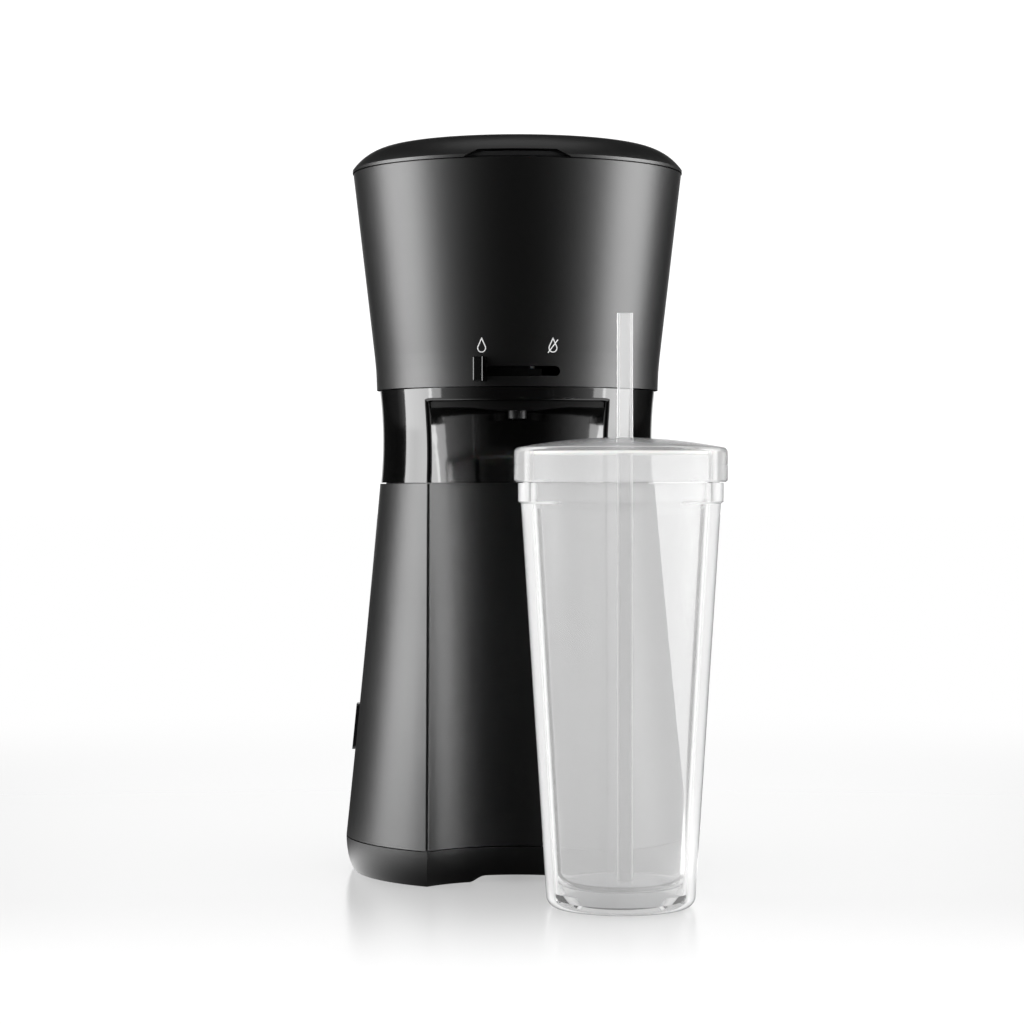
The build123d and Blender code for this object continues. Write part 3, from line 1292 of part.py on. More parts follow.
def hose_clamps():
    """Spring clamps at the four ends of the hoses."""
    low = HEATER_PORT_Z + HOSE_SEAT + CLAMP_SET
    tank = TANK_VALVE_Z - HOSE_SEAT - CLAMP_SET - CLAMP_WIDTH
    deck = NOZZLE_FOOT_Z - HOSE_SEAT - CLAMP_SET - CLAMP_WIDTH
    places = [
        (-HEATER_X, HEATER_FRONT_Y, low),
        (HEATER_X, HEATER_FRONT_Y, low),
        (TANK_OUTLET_X, TANK_OUTLET_Y, tank),
        (RISER_X, RISER_Y, deck),
    ]
    group = []
    for x, y, z in places:
        group.append(pipe(CLAMP_R, HOSE_R + CLAMP_GAP, z, z + CLAMP_WIDTH, x, y))
    return Compound(children=group)


def terminal_block():
    """Terminal block on the base inside the heater's U."""
    half, flat = TERMINAL_LENGTH / 2, TERMINAL_WIDTH / 2
    top = BASE_FLOOR_TOP + TERMINAL_HEIGHT
    return block((-half, TERMINAL_Y - flat, BASE_FLOOR_TOP), (half, TERMINAL_Y + flat, top))


def cord_gland():
    """Rubber gland in the back wall, with its bore open."""
    solid = along_y(GLAND_FLANGE_R, GLAND_SEAT_Y, GLAND_SEAT_Y + GLAND_FLANGE, 0, GLAND_Z)
    solid += along_y(GLAND_NECK_R, GLAND_BACK_Y - BITE, GLAND_SEAT_Y + BITE, 0, GLAND_Z)
    solid += along_y(GLAND_NUT_R, GLAND_BACK_Y - GLAND_NUT, GLAND_BACK_Y, 0, GLAND_Z)
    return solid - along_y(GLAND_BORE_R, GLAND_BACK_Y - GLAND_NUT - CUT, BIG / 2, 0, GLAND_Z)


# Tumbler


def at_cup(shape):
    """Place a piece of the tumbler where the tumbler stands."""
    return Pos(CUP_X, CUP_Y, 0) * shape


def quarter(radius):
    """Share of a rounding's radius that its middle point lies along each axis."""
    return radius * sin(radians(45))


def tumbler_outer():
    """Outer wall of the double-walled tumbler, with its collar."""
    slope = (CUP_TOP_R - CUP_FOOT_R) / (CUP_TOP_Z - CUP_FOOT_ROUND)
    centre = CUP_FOOT_R - CUP_FOOT_ROUND
    knee = (CUP_FOOT_R, CUP_FOOT_ROUND)
    toe = (centre, 0)
    bend = (centre + quarter(CUP_FOOT_ROUND), CUP_FOOT_ROUND - quarter(CUP_FOOT_ROUND))
    bore = VESSEL_NECK_R + VESSEL_PLAY
    floor_top = CUP_KICK + CUP_FLOOR
    outline = Polyline(
        knee,
        (CUP_TOP_R, CUP_TOP_Z),
        (COLLAR_R, CUP_TOP_Z + COLLAR_CHAMFER),
        (COLLAR_R, COLLAR_TOP_Z),
        (bore, COLLAR_TOP_Z),
        (bore, CUP_TOP_Z),
        (CUP_FOOT_R - CUP_WALL + slope * CUP_FLOOR, CUP_FOOT_ROUND + CUP_FLOOR),
        (centre, floor_top),
        (0, floor_top),
        (0, CUP_KICK),
        (CUP_KICK_R - CUP_KICK, CUP_KICK),
        (CUP_KICK_R, 0),
        toe,
    )
    return at_cup(turned(outline, ThreePointArc(toe, bend, knee)))


def tumbler_inner():
    """Inner vessel of the tumbler with its threaded neck."""
    low = VESSEL_FLOOR_Z + VESSEL_ROUND
    centre = VESSEL_FOOT_R - VESSEL_ROUND
    outer, inner = quarter(VESSEL_ROUND), quarter(VESSEL_ROUND - VESSEL_WALL)
    neck_bore = THREAD_NECK_R - VESSEL_WALL
    foot_bore = VESSEL_FOOT_R - VESSEL_WALL
    under = ThreePointArc((centre, VESSEL_FLOOR_Z), (centre + outer, low - outer), (VESSEL_FOOT_R, low))
    side = Polyline(
        (VESSEL_FOOT_R, low),
        (VESSEL_TOP_R, CUP_TOP_Z - VESSEL_FLARE),
        (VESSEL_NECK_R, CUP_TOP_Z + COLLAR_CHAMFER),
        (VESSEL_NECK_R, COLLAR_TOP_Z),
        (THREAD_NECK_R, COLLAR_TOP_Z),
        (THREAD_NECK_R, THREAD_NECK_TOP_Z),
        (neck_bore, THREAD_NECK_TOP_Z),
        (neck_bore, COLLAR_TOP_Z + COLLAR_CHAMFER),
        (VESSEL_NECK_R - VESSEL_WALL, CUP_TOP_Z + VESSEL_FLARE),
        (VESSEL_TOP_R - VESSEL_WALL, CUP_TOP_Z - VESSEL_FLARE),
        (foot_bore, low),
    )
    inside = ThreePointArc((foot_bore, low), (centre + inner, low - inner), (centre, VESSEL_INNER_FLOOR))
    floor = Polyline(
        (centre, VESSEL_INNER_FLOOR), (0, VESSEL_INNER_FLOOR), (0, VESSEL_FLOOR_Z), (centre, VESSEL_FLOOR_Z)
    )
    solid = turned(under, side, inside, floor)
    for index in range(THREAD_TURNS):
        foot = COLLAR_TOP_Z + THREAD_START + THREAD_PITCH * index
        solid += pipe(THREAD_R, THREAD_NECK_R - BITE, foot, foot + THREAD_WIDTH)
    return at_cup(solid)


def dome_arc(radius, edge_z, top_z):
    """Shallow arc from a rim at the given radius up to the axis."""
    return ThreePointArc((radius, edge_z), (radius / 2, edge_z + DOME_SWELL * (top_z - edge_z)), (0, top_z))


def tumbler_lid():
    """Screw lid with a shallow dome, a groove round its skirt and the straw's hole."""
    skirt_in = CUP_LID_R - CUP_LID_WALL
    seat = THREAD_NECK_TOP_Z + GASKET
    bend = CUP_LID_ROUND - quarter(CUP_LID_ROUND)
    shoulder = (CUP_LID_R, CUP_LID_EDGE_Z - CUP_LID_ROUND)
    rim = (CUP_LID_R - CUP_LID_ROUND, CUP_LID_EDGE_Z)
    rounding = ThreePointArc(shoulder, (CUP_LID_R - bend, CUP_LID_EDGE_Z - bend), rim)
    land = THREAD_NECK_R - VESSEL_WALL - CUP_LID_LAND
    under_z = CUP_LID_TOP_Z - CUP_LID_SHEET
    middle = Line((0, CUP_LID_TOP_Z), (0, under_z))
    inside = Polyline(
        (land, seat),
        (skirt_in, seat),
        (skirt_in, CUP_LID_FOOT_Z),
        (CUP_LID_R - CUP_LID_CHAMFER, CUP_LID_FOOT_Z),
        (CUP_LID_R, CUP_LID_FOOT_Z + CUP_LID_CHAMFER),
        shoulder,
    )
    dome = dome_arc(rim[0], rim[1], CUP_LID_TOP_Z)
    solid = turned(rounding, dome, middle, dome_arc(land, seat, under_z), inside)
    foot = CUP_LID_GROOVE_Z
    solid -= pipe(CUP_LID_R + CUT, CUP_LID_R - CUP_LID_GROOVE, foot, foot + CUP_LID_GROOVE)
    hole = disc(STRAW_R + STRAW_HOLE_CLEARANCE, seat, CUP_LID_TOP_Z + CUT, STRAW_OFFSET_X, 0)
    return at_cup(solid - hole)


def lid_gasket():
    """Soft ring between the tumbler's neck and its lid."""
    outer = THREAD_NECK_R - GASKET_INSET
    return at_cup(pipe(outer, outer - GASKET_WIDTH, THREAD_NECK_TOP_Z, THREAD_NECK_TOP_Z + GASKET))


def straw():
    """Straight drinking straw that stands on the vessel's floor."""
    low = VESSEL_INNER_FLOOR
    return at_cup(pipe(STRAW_R, STRAW_R - STRAW_WALL, low, low + STRAW_LENGTH, STRAW_OFFSET_X, 0))


PIECES = {
    "base_cover": base_cover,
    "foot_ring": foot_ring,
    "base_screws": base_screws,
    "lower_body_shell": lower_body_shell,
    "neck_band": neck_band,
    "bay_ceiling": bay_ceiling,
    "spout": spout,
    "head_shell": head_shell,
    "head_floor": head_floor,
    "floor_screws": floor_screws,
    "head_deck": head_deck,
    "deck_screws": deck_screws,
    "water_tank": water_tank,
    "check_valve": check_valve,
    "brew_basket": brew_basket,
    "outlet_seal": outlet_seal,
    "filter_frame": filter_frame,
    "filter_mesh": filter_mesh,
    "flow_lever": flow_lever,
    "lever_knob": lever_knob,
    "lever_pivot": lever_pivot,
    "lid_cover": lid_cover,
    "lid_liner": lid_liner,
    "lid_screws": lid_screws,
    "shower_head": shower_head,
    "water_duct": water_duct,
    "riser_nozzle": riser_nozzle,
    "hinge_pin": hinge_pin,
    "power_button": power_button,
    "button_spring": button_spring,
    "switch_housing": switch_housing,
    "switch_bracket": switch_bracket,
    "heater_tube": heater_tube,
    "heating_rod": heating_rod,
    "heater_cradle": heater_cradle,
    "thermostats": thermostats,
    "cold_hose": cold_hose,
    "riser_hose": riser_hose,
    "hose_clamps": hose_clamps,
    "terminal_block": terminal_block,
    "cord_gland": cord_gland,
    "tumbler_outer": tumbler_outer,
    "tumbler_inner": tumbler_inner,
    "tumbler_lid": tumbler_lid,
    "lid_gasket": lid_gasket,
    "straw": straw,
}


def main():
    """Write one STEP file for each piece."""
    os.makedirs("parts", exist_ok=True)
    for name, make in PIECES.items():
        export_step(make(), f"parts/{name}.step")


if __name__ == "__main__":
    main()
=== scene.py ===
# %% [markdown]
# # Iced coffee maker, dressed in Blender
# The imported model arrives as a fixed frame: every shell, hose and screw is already in its place.
# This lesson gives each piece its real finish, adds the small printed marks and screw recesses
# that a solid model leaves out, and sets up a plain white studio round it.

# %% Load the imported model
import math

import bmesh
import bpy
from mathutils import Matrix, Vector


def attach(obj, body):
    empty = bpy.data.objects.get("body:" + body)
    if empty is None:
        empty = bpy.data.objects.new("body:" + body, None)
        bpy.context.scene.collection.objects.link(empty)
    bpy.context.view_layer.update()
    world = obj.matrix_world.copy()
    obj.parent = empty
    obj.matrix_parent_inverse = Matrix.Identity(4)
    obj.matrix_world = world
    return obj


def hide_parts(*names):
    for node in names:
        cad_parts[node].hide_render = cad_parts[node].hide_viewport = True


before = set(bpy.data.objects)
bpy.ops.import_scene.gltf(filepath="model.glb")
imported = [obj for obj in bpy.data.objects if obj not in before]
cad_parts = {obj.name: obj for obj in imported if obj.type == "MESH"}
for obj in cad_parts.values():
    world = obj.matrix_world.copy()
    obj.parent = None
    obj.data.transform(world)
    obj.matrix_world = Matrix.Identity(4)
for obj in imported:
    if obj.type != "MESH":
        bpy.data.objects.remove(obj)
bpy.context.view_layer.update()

print("nodes loaded:", len(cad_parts))

# %% [markdown]
# The loader leaves every node selected. Operators act on the whole selection, so each step
# below starts with nothing selected and no edit mode left open.


# %% Start from a clean selection
def start_clean():
    if bpy.context.object and bpy.context.object.mode != "OBJECT":
        bpy.ops.object.mode_set(mode="OBJECT")
    bpy.ops.object.select_all(action="DESELECT")


start_clean()

# %% [markdown]
# The photograph was taken from the front with a long lens, about 1.35 m away and level, with the
# horizon a little above the middle of the picture. A camera that looks straight along +Y with a
# small shift repeats that: tilting it instead would make the machine's sides lean.

# %% Place the camera
LENS_MM = 97.84
SENSOR_MM = 36.0
camera_data = bpy.data.cameras.new("studio_camera")
camera_data.lens = LENS_MM
camera_data.sensor_width = SENSOR_MM
camera_data.shift_x = -0.00518
camera_data.shift_y = -0.02842
camera_data.clip_end = 50.0
camera = bpy.data.objects.new("studio_camera", camera_data)
camera.location = (0.0, -1.35, 0.1864)
camera.rotation_euler = (math.radians(90), 0, 0)
bpy.context.scene.collection.objects.link(camera)
bpy.context.scene.camera = camera
bpy.context.scene.view_settings.view_transform = "Standard"
print("camera to axis:", round(-camera.location.y, 3), "m")

# %% [markdown]
# ## Finishes
# Every finish below is a small node tree. Small helpers keep them short: one turns a colour
# written as on the web into Blender's linear light, one adds a node and sets its inputs, and two
# more do the same for sums and for mixed shaders.


# %% Colour and node helpers
def linear(hex_colour):
    """Linear RGBA from an sRGB colour such as #1b1b1c."""
    channels = []
    for start in (1, 3, 5):
        value = int(hex_colour[start:start + 2], 16) / 255
        if value <= 0.04045:
            channels.append(value / 12.92)
        else:
            channels.append(((value + 0.055) / 1.055) ** 2.4)
    return (*channels, 1.0)


def add_node(tree, kind, inputs=None, **settings):
    """Add a node, set its properties, then set or link its inputs."""
    made = tree.nodes.new(kind)
    for name, value in settings.items():
        setattr(made, name, value)
    for name, value in (inputs or {}).items():
        if isinstance(value, bpy.types.NodeSocket):
            tree.links.new(value, made.inputs[name])
        else:
            made.inputs[name].default_value = value
    return made


def add_math(tree, operation, first, second=0.0):
    """Result of a Math node whose inputs are sockets or numbers."""
    made = add_node(tree, "ShaderNodeMath", {0: first, 1: second}, operation=operation)
    return made.outputs["Value"]


def mix_shaders(tree, share, first, second):
    """Mixed shader: a share of 0 shows the first and 1 the second."""
    mixed = add_node(tree, "ShaderNodeMixShader", {"Fac": share})
    tree.links.new(first, mixed.inputs[1])
    tree.links.new(second, mixed.inputs[2])
    return mixed.outputs["Shader"]


def start_finish(name):
    """Empty material with an output node and Object coordinates in metres."""
    finish = bpy.data.materials.new(name)
    finish.use_nodes = True
    finish.node_tree.nodes.clear()
    output = add_node(finish.node_tree, "ShaderNodeOutputMaterial")
    place = add_node(finish.node_tree, "ShaderNodeTexCoord").outputs["Object"]
    return finish, output, place


print("satin black in linear light:", [round(v, 4) for v in linear("#1b1b1c")])

# %% [markdown]
# ### Moulded ABS
# The head, lid, body and base are black ABS from a mould with a fine spark-eroded grain, which
# turns a lamp's reflection into a wide soft band. The neck is the same plastic from a polished
# mould, so it mirrors. The shutter and the bay's ceiling are drawn darker and with little gloss:
# painted shade for the shadow in the slot and under the bridge. One function makes them all: the
# grain is a noise of about 0.35 mm, drawn a little coarser than the real 0.1 mm so that it shows.
# Its depth, the roughness and the strength of the gloss make the difference.


# %% Moulded plastic
def moulded_plastic(name, colour, roughness, grain_mm=0.35, depth=0.04, spread=0.04, gloss=0.5):
    finish, output, place = start_finish(name)
    tree = finish.node_tree
    grain = add_node(
        tree,
        "ShaderNodeTexNoise",
        {"Vector": place, "Scale": 1000 / grain_mm, "Detail": 3.0, "Roughness": 0.6},
    )
    flow = add_node(tree, "ShaderNodeTexNoise", {"Vector": place, "Scale": 14.0, "Detail": 2.0})
    rough = add_node(
        tree,
        "ShaderNodeMapRange",
        {"Value": flow.outputs["Fac"], "To Min": roughness - spread, "To Max": roughness + spread},
    )
    tint = add_node(
        tree,
        "ShaderNodeMix",
        {"Factor": grain.outputs["Fac"], "A": linear(colour[0]), "B": linear(colour[1])},
        data_type="RGBA",
    )
    bump = add_node(
        tree, "ShaderNodeBump", {"Height": grain.outputs["Fac"], "Strength": depth, "Distance": 0.0003}
    )
    surface = add_node(
        tree,
        "ShaderNodeBsdfPrincipled",
        {
            "Base Color": tint.outputs["Result"],
            "Roughness": rough.outputs["Result"],
            "IOR": 1.53,
            "Specular IOR Level": gloss,
            "Normal": bump.outputs["Normal"],
        },
    )
    tree.links.new(surface.outputs["BSDF"], output.inputs["Surface"])
    return finish


satin_abs = moulded_plastic("abs_satin_black", ("#030303", "#060606"), 0.37, depth=0.10)
piano_abs = moulded_plastic("abs_polished_black", ("#030303", "#040404"), 0.08, 4.0, 0.01, 0.01)
trim_abs = moulded_plastic("abs_trim_black", ("#0a0a0b", "#0e0e0f"), 0.45, depth=0.06, gloss=0.25)
# Painted shade: darker and nearly glossless, for the shadow in the slot and under the bay's bridge.
recess_shade_abs = moulded_plastic("abs_black_painted_recess_shade", ("#020202", "#030303"), 0.60, depth=0.10, gloss=0.10)
button_abs = moulded_plastic("abs_button_black", ("#080809", "#0c0c0d"), 0.30, depth=0.03)
inner_pp = moulded_plastic("polypropylene_black", ("#1c1d1e", "#232425"), 0.42, depth=0.12)
inner_grey = moulded_plastic("nylon_grey", ("#55575a", "#606265"), 0.50, depth=0.12)
terminal_nylon = moulded_plastic("nylon_ivory", ("#c9c2ad", "#d6cfbb"), 0.45, depth=0.10)
print("plastics made: 8")

# %% [markdown]
# ### Rubber and silicone
# The foot ring and the cord gland are black rubber, dull with a dusty bloom. Hoses and seals
# are milky silicone: light goes a little way in, so subsurface scattering is the honest way
# to draw it, with a shallow radius because the walls are only 2 mm thick.


# %% Rubber and silicone
def soft_moulding(name, colour, roughness, scatter=0.0):
    finish, output, place = start_finish(name)
    tree = finish.node_tree
    bloom = add_node(tree, "ShaderNodeTexNoise", {"Vector": place, "Scale": 160.0, "Detail": 5.0})
    tint = add_node(
        tree,
        "ShaderNodeMix",
        {"Factor": bloom.outputs["Fac"], "A": linear(colour[0]), "B": linear(colour[1])},
        data_type="RGBA",
    )
    bump = add_node(
        tree, "ShaderNodeBump", {"Height": bloom.outputs["Fac"], "Strength": 0.12, "Distance": 0.0004}
    )
    surface = add_node(
        tree,
        "ShaderNodeBsdfPrincipled",
        {
            "Base Color": tint.outputs["Result"],
            "Roughness": roughness,
            "IOR": 1.42,
            "Subsurface Weight": scatter,
            "Subsurface Scale": 0.002,
            "Normal": bump.outputs["Normal"],
        },
    )
    tree.links.new(surface.outputs["BSDF"], output.inputs["Surface"])
    return finish


black_rubber = soft_moulding("rubber_black", ("#131313", "#1d1d1c"), 0.75)
milky_silicone = soft_moulding("silicone_milky", ("#dfe0dc", "#eeeeea"), 0.45, scatter=0.3)
print("soft finishes made: 2")

# %% [markdown]
# ### Metals
# Screws, clamps and the hinge pin are zinc-plated steel, the heater is a drawn aluminium tube
# with fine lines along its pull. Both are metallic surfaces whose roughness varies with a
# stretched noise, because plating and drawing leave streaks and not grains.


# %% Drawn and plated metal
def worked_metal(name, colour, roughness, streak):
    finish, output, place = start_finish(name)
    tree = finish.node_tree
    turn = add_node(tree, "ShaderNodeMapping", {"Vector": place, "Scale": streak})
    lines = add_node(
        tree, "ShaderNodeTexNoise", {"Vector": turn.outputs["Vector"], "Scale": 1.0, "Detail": 4.0}
    )
    rough = add_node(
        tree,
        "ShaderNodeMapRange",
        {"Value": lines.outputs["Fac"], "To Min": roughness - 0.08, "To Max": roughness + 0.10},
    )
    tint = add_node(
        tree,
        "ShaderNodeMix",
        {"Factor": lines.outputs["Fac"], "A": linear(colour[0]), "B": linear(colour[1])},
        data_type="RGBA",
    )
    surface = add_node(
        tree,
        "ShaderNodeBsdfPrincipled",
        {
            "Base Color": tint.outputs["Result"],
            "Metallic": 1.0,
            "Roughness": rough.outputs["Result"],
        },
    )
    tree.links.new(surface.outputs["BSDF"], output.inputs["Surface"])
    return finish


plated_steel = worked_metal("steel_zinc_plated", ("#b4b6b8", "#cccdce"), 0.28, (900.0, 900.0, 120.0))
drawn_aluminium = worked_metal("aluminium_drawn", ("#c4c6c8", "#d8d9da"), 0.36, (1400.0, 80.0, 1400.0))
print("metals made: 2")

# %% [markdown]
# ### Filter mesh
# The reusable filter is a cup of woven nylon. Its real openings are about 0.2 mm, too fine for
# the picture, so the weave is drawn with 0.8 mm spacing. Two sets of bands round the basket's
# axis and up its side, joined with a minimum, give threads with painted shade in the openings
# between them.

# %% Woven mesh
WEAVE_MM = 0.8
FILTER_R_MM = 32
BASKET_AXIS_Y = -0.030


def woven_mesh(name):
    finish, output, place = start_finish(name)
    tree = finish.node_tree
    centred = add_node(
        tree, "ShaderNodeMapping", {"Vector": place, "Location": (0.0, -BASKET_AXIS_Y, 0.0)}
    )
    axes = add_node(tree, "ShaderNodeSeparateXYZ", {"Vector": centred.outputs["Vector"]})
    angle = add_math(tree, "ARCTAN2", axes.outputs["Y"], axes.outputs["X"])
    bands = []
    for source, turn in ((angle, math.pi * FILTER_R_MM / WEAVE_MM), (axes.outputs["Z"], 3141.6 / WEAVE_MM)):
        wave = add_math(tree, "SINE", add_math(tree, "MULTIPLY", source, turn))
        bands.append(add_math(tree, "ABSOLUTE", wave))
    weave = add_math(tree, "MINIMUM", bands[0], bands[1])
    # Painted shade: the openings between the threads are coloured dark grey.
    tint = add_node(
        tree,
        "ShaderNodeMix",
        {"Factor": weave, "A": linear("#d9d6cc"), "B": linear("#5f5d57")},
        data_type="RGBA",
    )
    bump = add_node(
        tree,
        "ShaderNodeBump",
        {"Height": weave, "Strength": 0.5, "Distance": 0.0002},
        invert=True,
    )
    surface = add_node(
        tree,
        "ShaderNodeBsdfPrincipled",
        {
            "Base Color": tint.outputs["Result"],
            "Roughness": 0.55,
            "IOR": 1.53,
            "Normal": bump.outputs["Normal"],
        },
    )
    tree.links.new(surface.outputs["BSDF"], output.inputs["Surface"])
    return finish


nylon_mesh = woven_mesh("nylon_woven")
print("weave spacing:", WEAVE_MM, "mm")

# %% [markdown]
# ### Clear plastic
# The tumbler is clear styrene: thin walls that show what is behind them. The studio's white in
# them is painted light: a pale haze seen only by the camera, a painted white band where the gap
# between the walls is seen edge on, and a painted grey line of shade at each outline. Full
# refraction through eight surfaces turns such a cup dark, so a wall is drawn as mostly see-through
# with a share of painted white haze. Layer Weight gives how far a face turns away: the haze grows
# from one value of it and the painted shade turns it grey from a later one. Shadow, diffuse and
# glossy rays pass through the haze, because a cup doesn't darken itself.

# %% Clear plastic
FACE_ON_PAINTED_HAZE = 0.15
PAINTED_HAZE_STEP = 0.10
BACKLIT_SHARE = 0.08


def clear_plastic(name, turn_from, edge_painted_white, outline_shade_from, outline_shade_colour, painted_haze=FACE_ON_PAINTED_HAZE):
    finish, output, _ = start_finish(name)
    tree = finish.node_tree
    facing = add_node(tree, "ShaderNodeLayerWeight", {"Blend": 0.5}).outputs["Facing"]
    # Painted light: the white haze rises as the face turns away, up to the painted white band of the edge-on
    # gap.
    share = add_node(
        tree,
        "ShaderNodeMapRange",
        {
            "Value": facing,
            "From Min": turn_from,
            "From Max": turn_from + PAINTED_HAZE_STEP,
            "To Min": painted_haze,
            "To Max": edge_painted_white,
        },
        interpolation_type="SMOOTHSTEP",
    )
    # Painted shade: the grey line at the outline, where the face is seen edge on.
    outline_shade = add_node(
        tree,
        "ShaderNodeMapRange",
        {"Value": facing, "From Min": outline_shade_from, "From Max": 1.0},
        interpolation_type="SMOOTHSTEP",
    )
    tint = add_node(
        tree,
        "ShaderNodeMix",
        {"Factor": outline_shade.outputs["Result"], "A": linear("#ffffff"), "B": linear(outline_shade_colour)},
        data_type="RGBA",
    )
    lit_face = add_node(tree, "ShaderNodeBsdfDiffuse", {"Color": tint.outputs["Result"]})
    backlit_face = add_node(tree, "ShaderNodeBsdfTranslucent", {"Color": tint.outputs["Result"]})
    painted_white = mix_shaders(tree, BACKLIT_SHARE, lit_face.outputs["BSDF"], backlit_face.outputs["BSDF"])
    ray = add_node(tree, "ShaderNodeLightPath")
    passing = add_math(tree, "MAXIMUM", ray.outputs["Is Shadow Ray"], ray.outputs["Is Diffuse Ray"])
    passing = add_math(tree, "MAXIMUM", passing, ray.outputs["Is Glossy Ray"])
    cover = add_math(tree, "MULTIPLY", share.outputs["Result"], add_math(tree, "SUBTRACT", 1.0, passing))
    clear = add_node(tree, "ShaderNodeBsdfTransparent", {"Color": linear("#ffffff")})
    wall = mix_shaders(tree, cover, clear.outputs["BSDF"], painted_white)
    shine = add_node(tree, "ShaderNodeBsdfGlossy", {"Roughness": 0.20, "Color": linear("#ffffff")})
    glint = add_node(tree, "ShaderNodeFresnel", {"IOR": 1.06})
    coated = mix_shaders(tree, glint.outputs["Fac"], wall, shine.outputs["BSDF"])
    tree.links.new(coated, output.inputs["Surface"])
    return finish


# Per wall: where the painted haze turns, its painted white at the edge, where the painted grey outline
# starts, and its grey.
cup_wall = clear_plastic("styrene_clear", 0.49, 0.85, 0.62, "#a8a9ab")
vessel_wall = clear_plastic("styrene_clear_inner", 0.60, 0.55, 0.55, "#a0a1a3")
lid_plastic = clear_plastic("styrene_lid", 0.46, 0.50, 0.62, "#8f9092", painted_haze=0.24)
straw_plastic = clear_plastic("polypropylene_straw", 0.40, 0.60, 0.60, "#86878a", painted_haze=0.16)
print("clear plastics made: 4")

# %% [markdown]
# ### White print
# The two drops over the slot and the small switch marks are pad-printed in white ink, flat and
# a little uneven in density.

# %% Ink
white_ink = soft_moulding("ink_white", ("#e6e6e6", "#f2f2f2"), 0.6)

# %% [markdown]
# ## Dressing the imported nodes
# Each node keeps its shape and gets the finish of the real moulding. Assigning to the node's
# own material slot leaves its mesh as it is.

# %% Give every node its finish
FINISH_OF = {
    satin_abs: ("base_cover", "lower_body_shell", "head_shell", "lid_cover"),
    piano_abs: ("neck_band", "lever_knob"),
    trim_abs: ("spout",),
    # Painted shade in the slot and under the bay's bridge.
    recess_shade_abs: ("flow_lever", "bay_ceiling"),
    button_abs: ("power_button",),
    inner_pp: (
        "head_deck", "water_tank", "brew_basket", "filter_frame", "lid_liner", "shower_head",
    ),
    inner_grey: ("head_floor", "water_duct", "check_valve", "switch_housing"),
    terminal_nylon: ("terminal_block",),
    black_rubber: ("foot_ring", "cord_gland"),
    milky_silicone: ("cold_hose", "riser_hose", "outlet_seal", "lid_gasket", "riser_nozzle"),
    plated_steel: (
        "base_screws", "floor_screws", "deck_screws", "lid_screws", "lever_pivot", "hinge_pin",
        "button_spring", "switch_bracket", "heater_cradle", "thermostats", "hose_clamps",
    ),
    drawn_aluminium: ("heater_tube", "heating_rod"),
    nylon_mesh: ("filter_mesh",),
    cup_wall: ("tumbler_outer",),
    vessel_wall: ("tumbler_inner",),
    lid_plastic: ("tumbler_lid",),
    straw_plastic: ("straw",),
}


def dress(node, finish):
    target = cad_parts[node]
    if not target.material_slots:
        target.data.materials.append(finish)
    for place in target.material_slots:
        place.material = finish


dressed = 0
for finish, nodes in FINISH_OF.items():
    for node in nodes:
        dress(node, finish)
        dressed += 1
print("nodes dressed:", dressed, "of", len(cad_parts))

# %% [markdown]
# ## Printed marks over the slot
# A drop in outline stands over the slot's open end and a crossed-out one over its closed end.
# Each is modelled flat: a circle's upper points are moved on to the two straight lines that touch
# it and meet in the tip, the face is inset by the line's width, and its middle is deleted. The
# flat outline is then laid on the head's cone, a twentieth of a millimetre proud.

# %% Values of the head's cone and of the marks
HEAD_KNEE_R = 0.0684
HEAD_KNEE_Z = 0.2420
HEAD_RIM_R = 0.0793
HEAD_RIM_Z = 0.3352
INK_PROUD = 0.00006
MARK_Z = 0.2486
OPEN_MARK_X = -0.0166
CLOSED_MARK_X = 0.0166
DROP_LINE = 0.00045
DROP_R = 0.0021
DROP_TIP = 0.0050
SLASH_LENGTH = 0.0077
SLASH_TURN_DEG = -38
SLASH_RISE = 0.0008


def head_radius(z):
    share = (z - HEAD_KNEE_Z) / (HEAD_RIM_Z - HEAD_KNEE_Z)
    return HEAD_KNEE_R + (HEAD_RIM_R - HEAD_KNEE_R) * share


def finish_piece(piece, finish, body, smooth=False):
    """Common last steps of a modelled piece."""
    start_clean()
    piece.data.materials.clear()
    piece.data.materials.append(finish)
    if smooth:
        piece.select_set(True)
        bpy.context.view_layer.objects.active = piece
        bpy.ops.object.shade_smooth_by_angle(angle=math.radians(35))
        piece.select_set(False)
    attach(piece, body)


def flat_drop(name):
    """Outline of a drop in the XY plane, tip towards +Y, centred on its round end."""
    start_clean()
    bpy.ops.mesh.primitive_circle_add(vertices=48, radius=DROP_R, fill_type="NGON")
    drop = bpy.context.object
    drop.name = name
    touch = math.asin(DROP_R / DROP_TIP)
    for vertex in drop.data.vertices:
        turn = math.atan2(vertex.co.y, abs(vertex.co.x))
        if turn > touch:
            share = (turn - touch) / (math.pi / 2 - touch)
            vertex.co.x = math.copysign(DROP_R * math.cos(touch) * (1 - share), vertex.co.x)
            vertex.co.y = DROP_R * math.sin(touch) * (1 - share) + DROP_TIP * share
    bpy.ops.object.mode_set(mode="EDIT")
    bpy.ops.mesh.select_all(action="SELECT")
    bpy.ops.mesh.inset(thickness=DROP_LINE, use_even_offset=True)
    bpy.ops.mesh.delete(type="FACE")
    bpy.ops.object.mode_set(mode="OBJECT")
    return drop


def lay_on_head(piece, x, z):
    """Wrap a flat piece in XY round the head's cone, its middle at x and z."""
    for vertex in piece.data.vertices:
        height = z + vertex.co.y
        radius = head_radius(height) + INK_PROUD + vertex.co.z
        turn = (x + vertex.co.x) / head_radius(height)
        vertex.co = (radius * math.sin(turn), -radius * math.cos(turn), height)


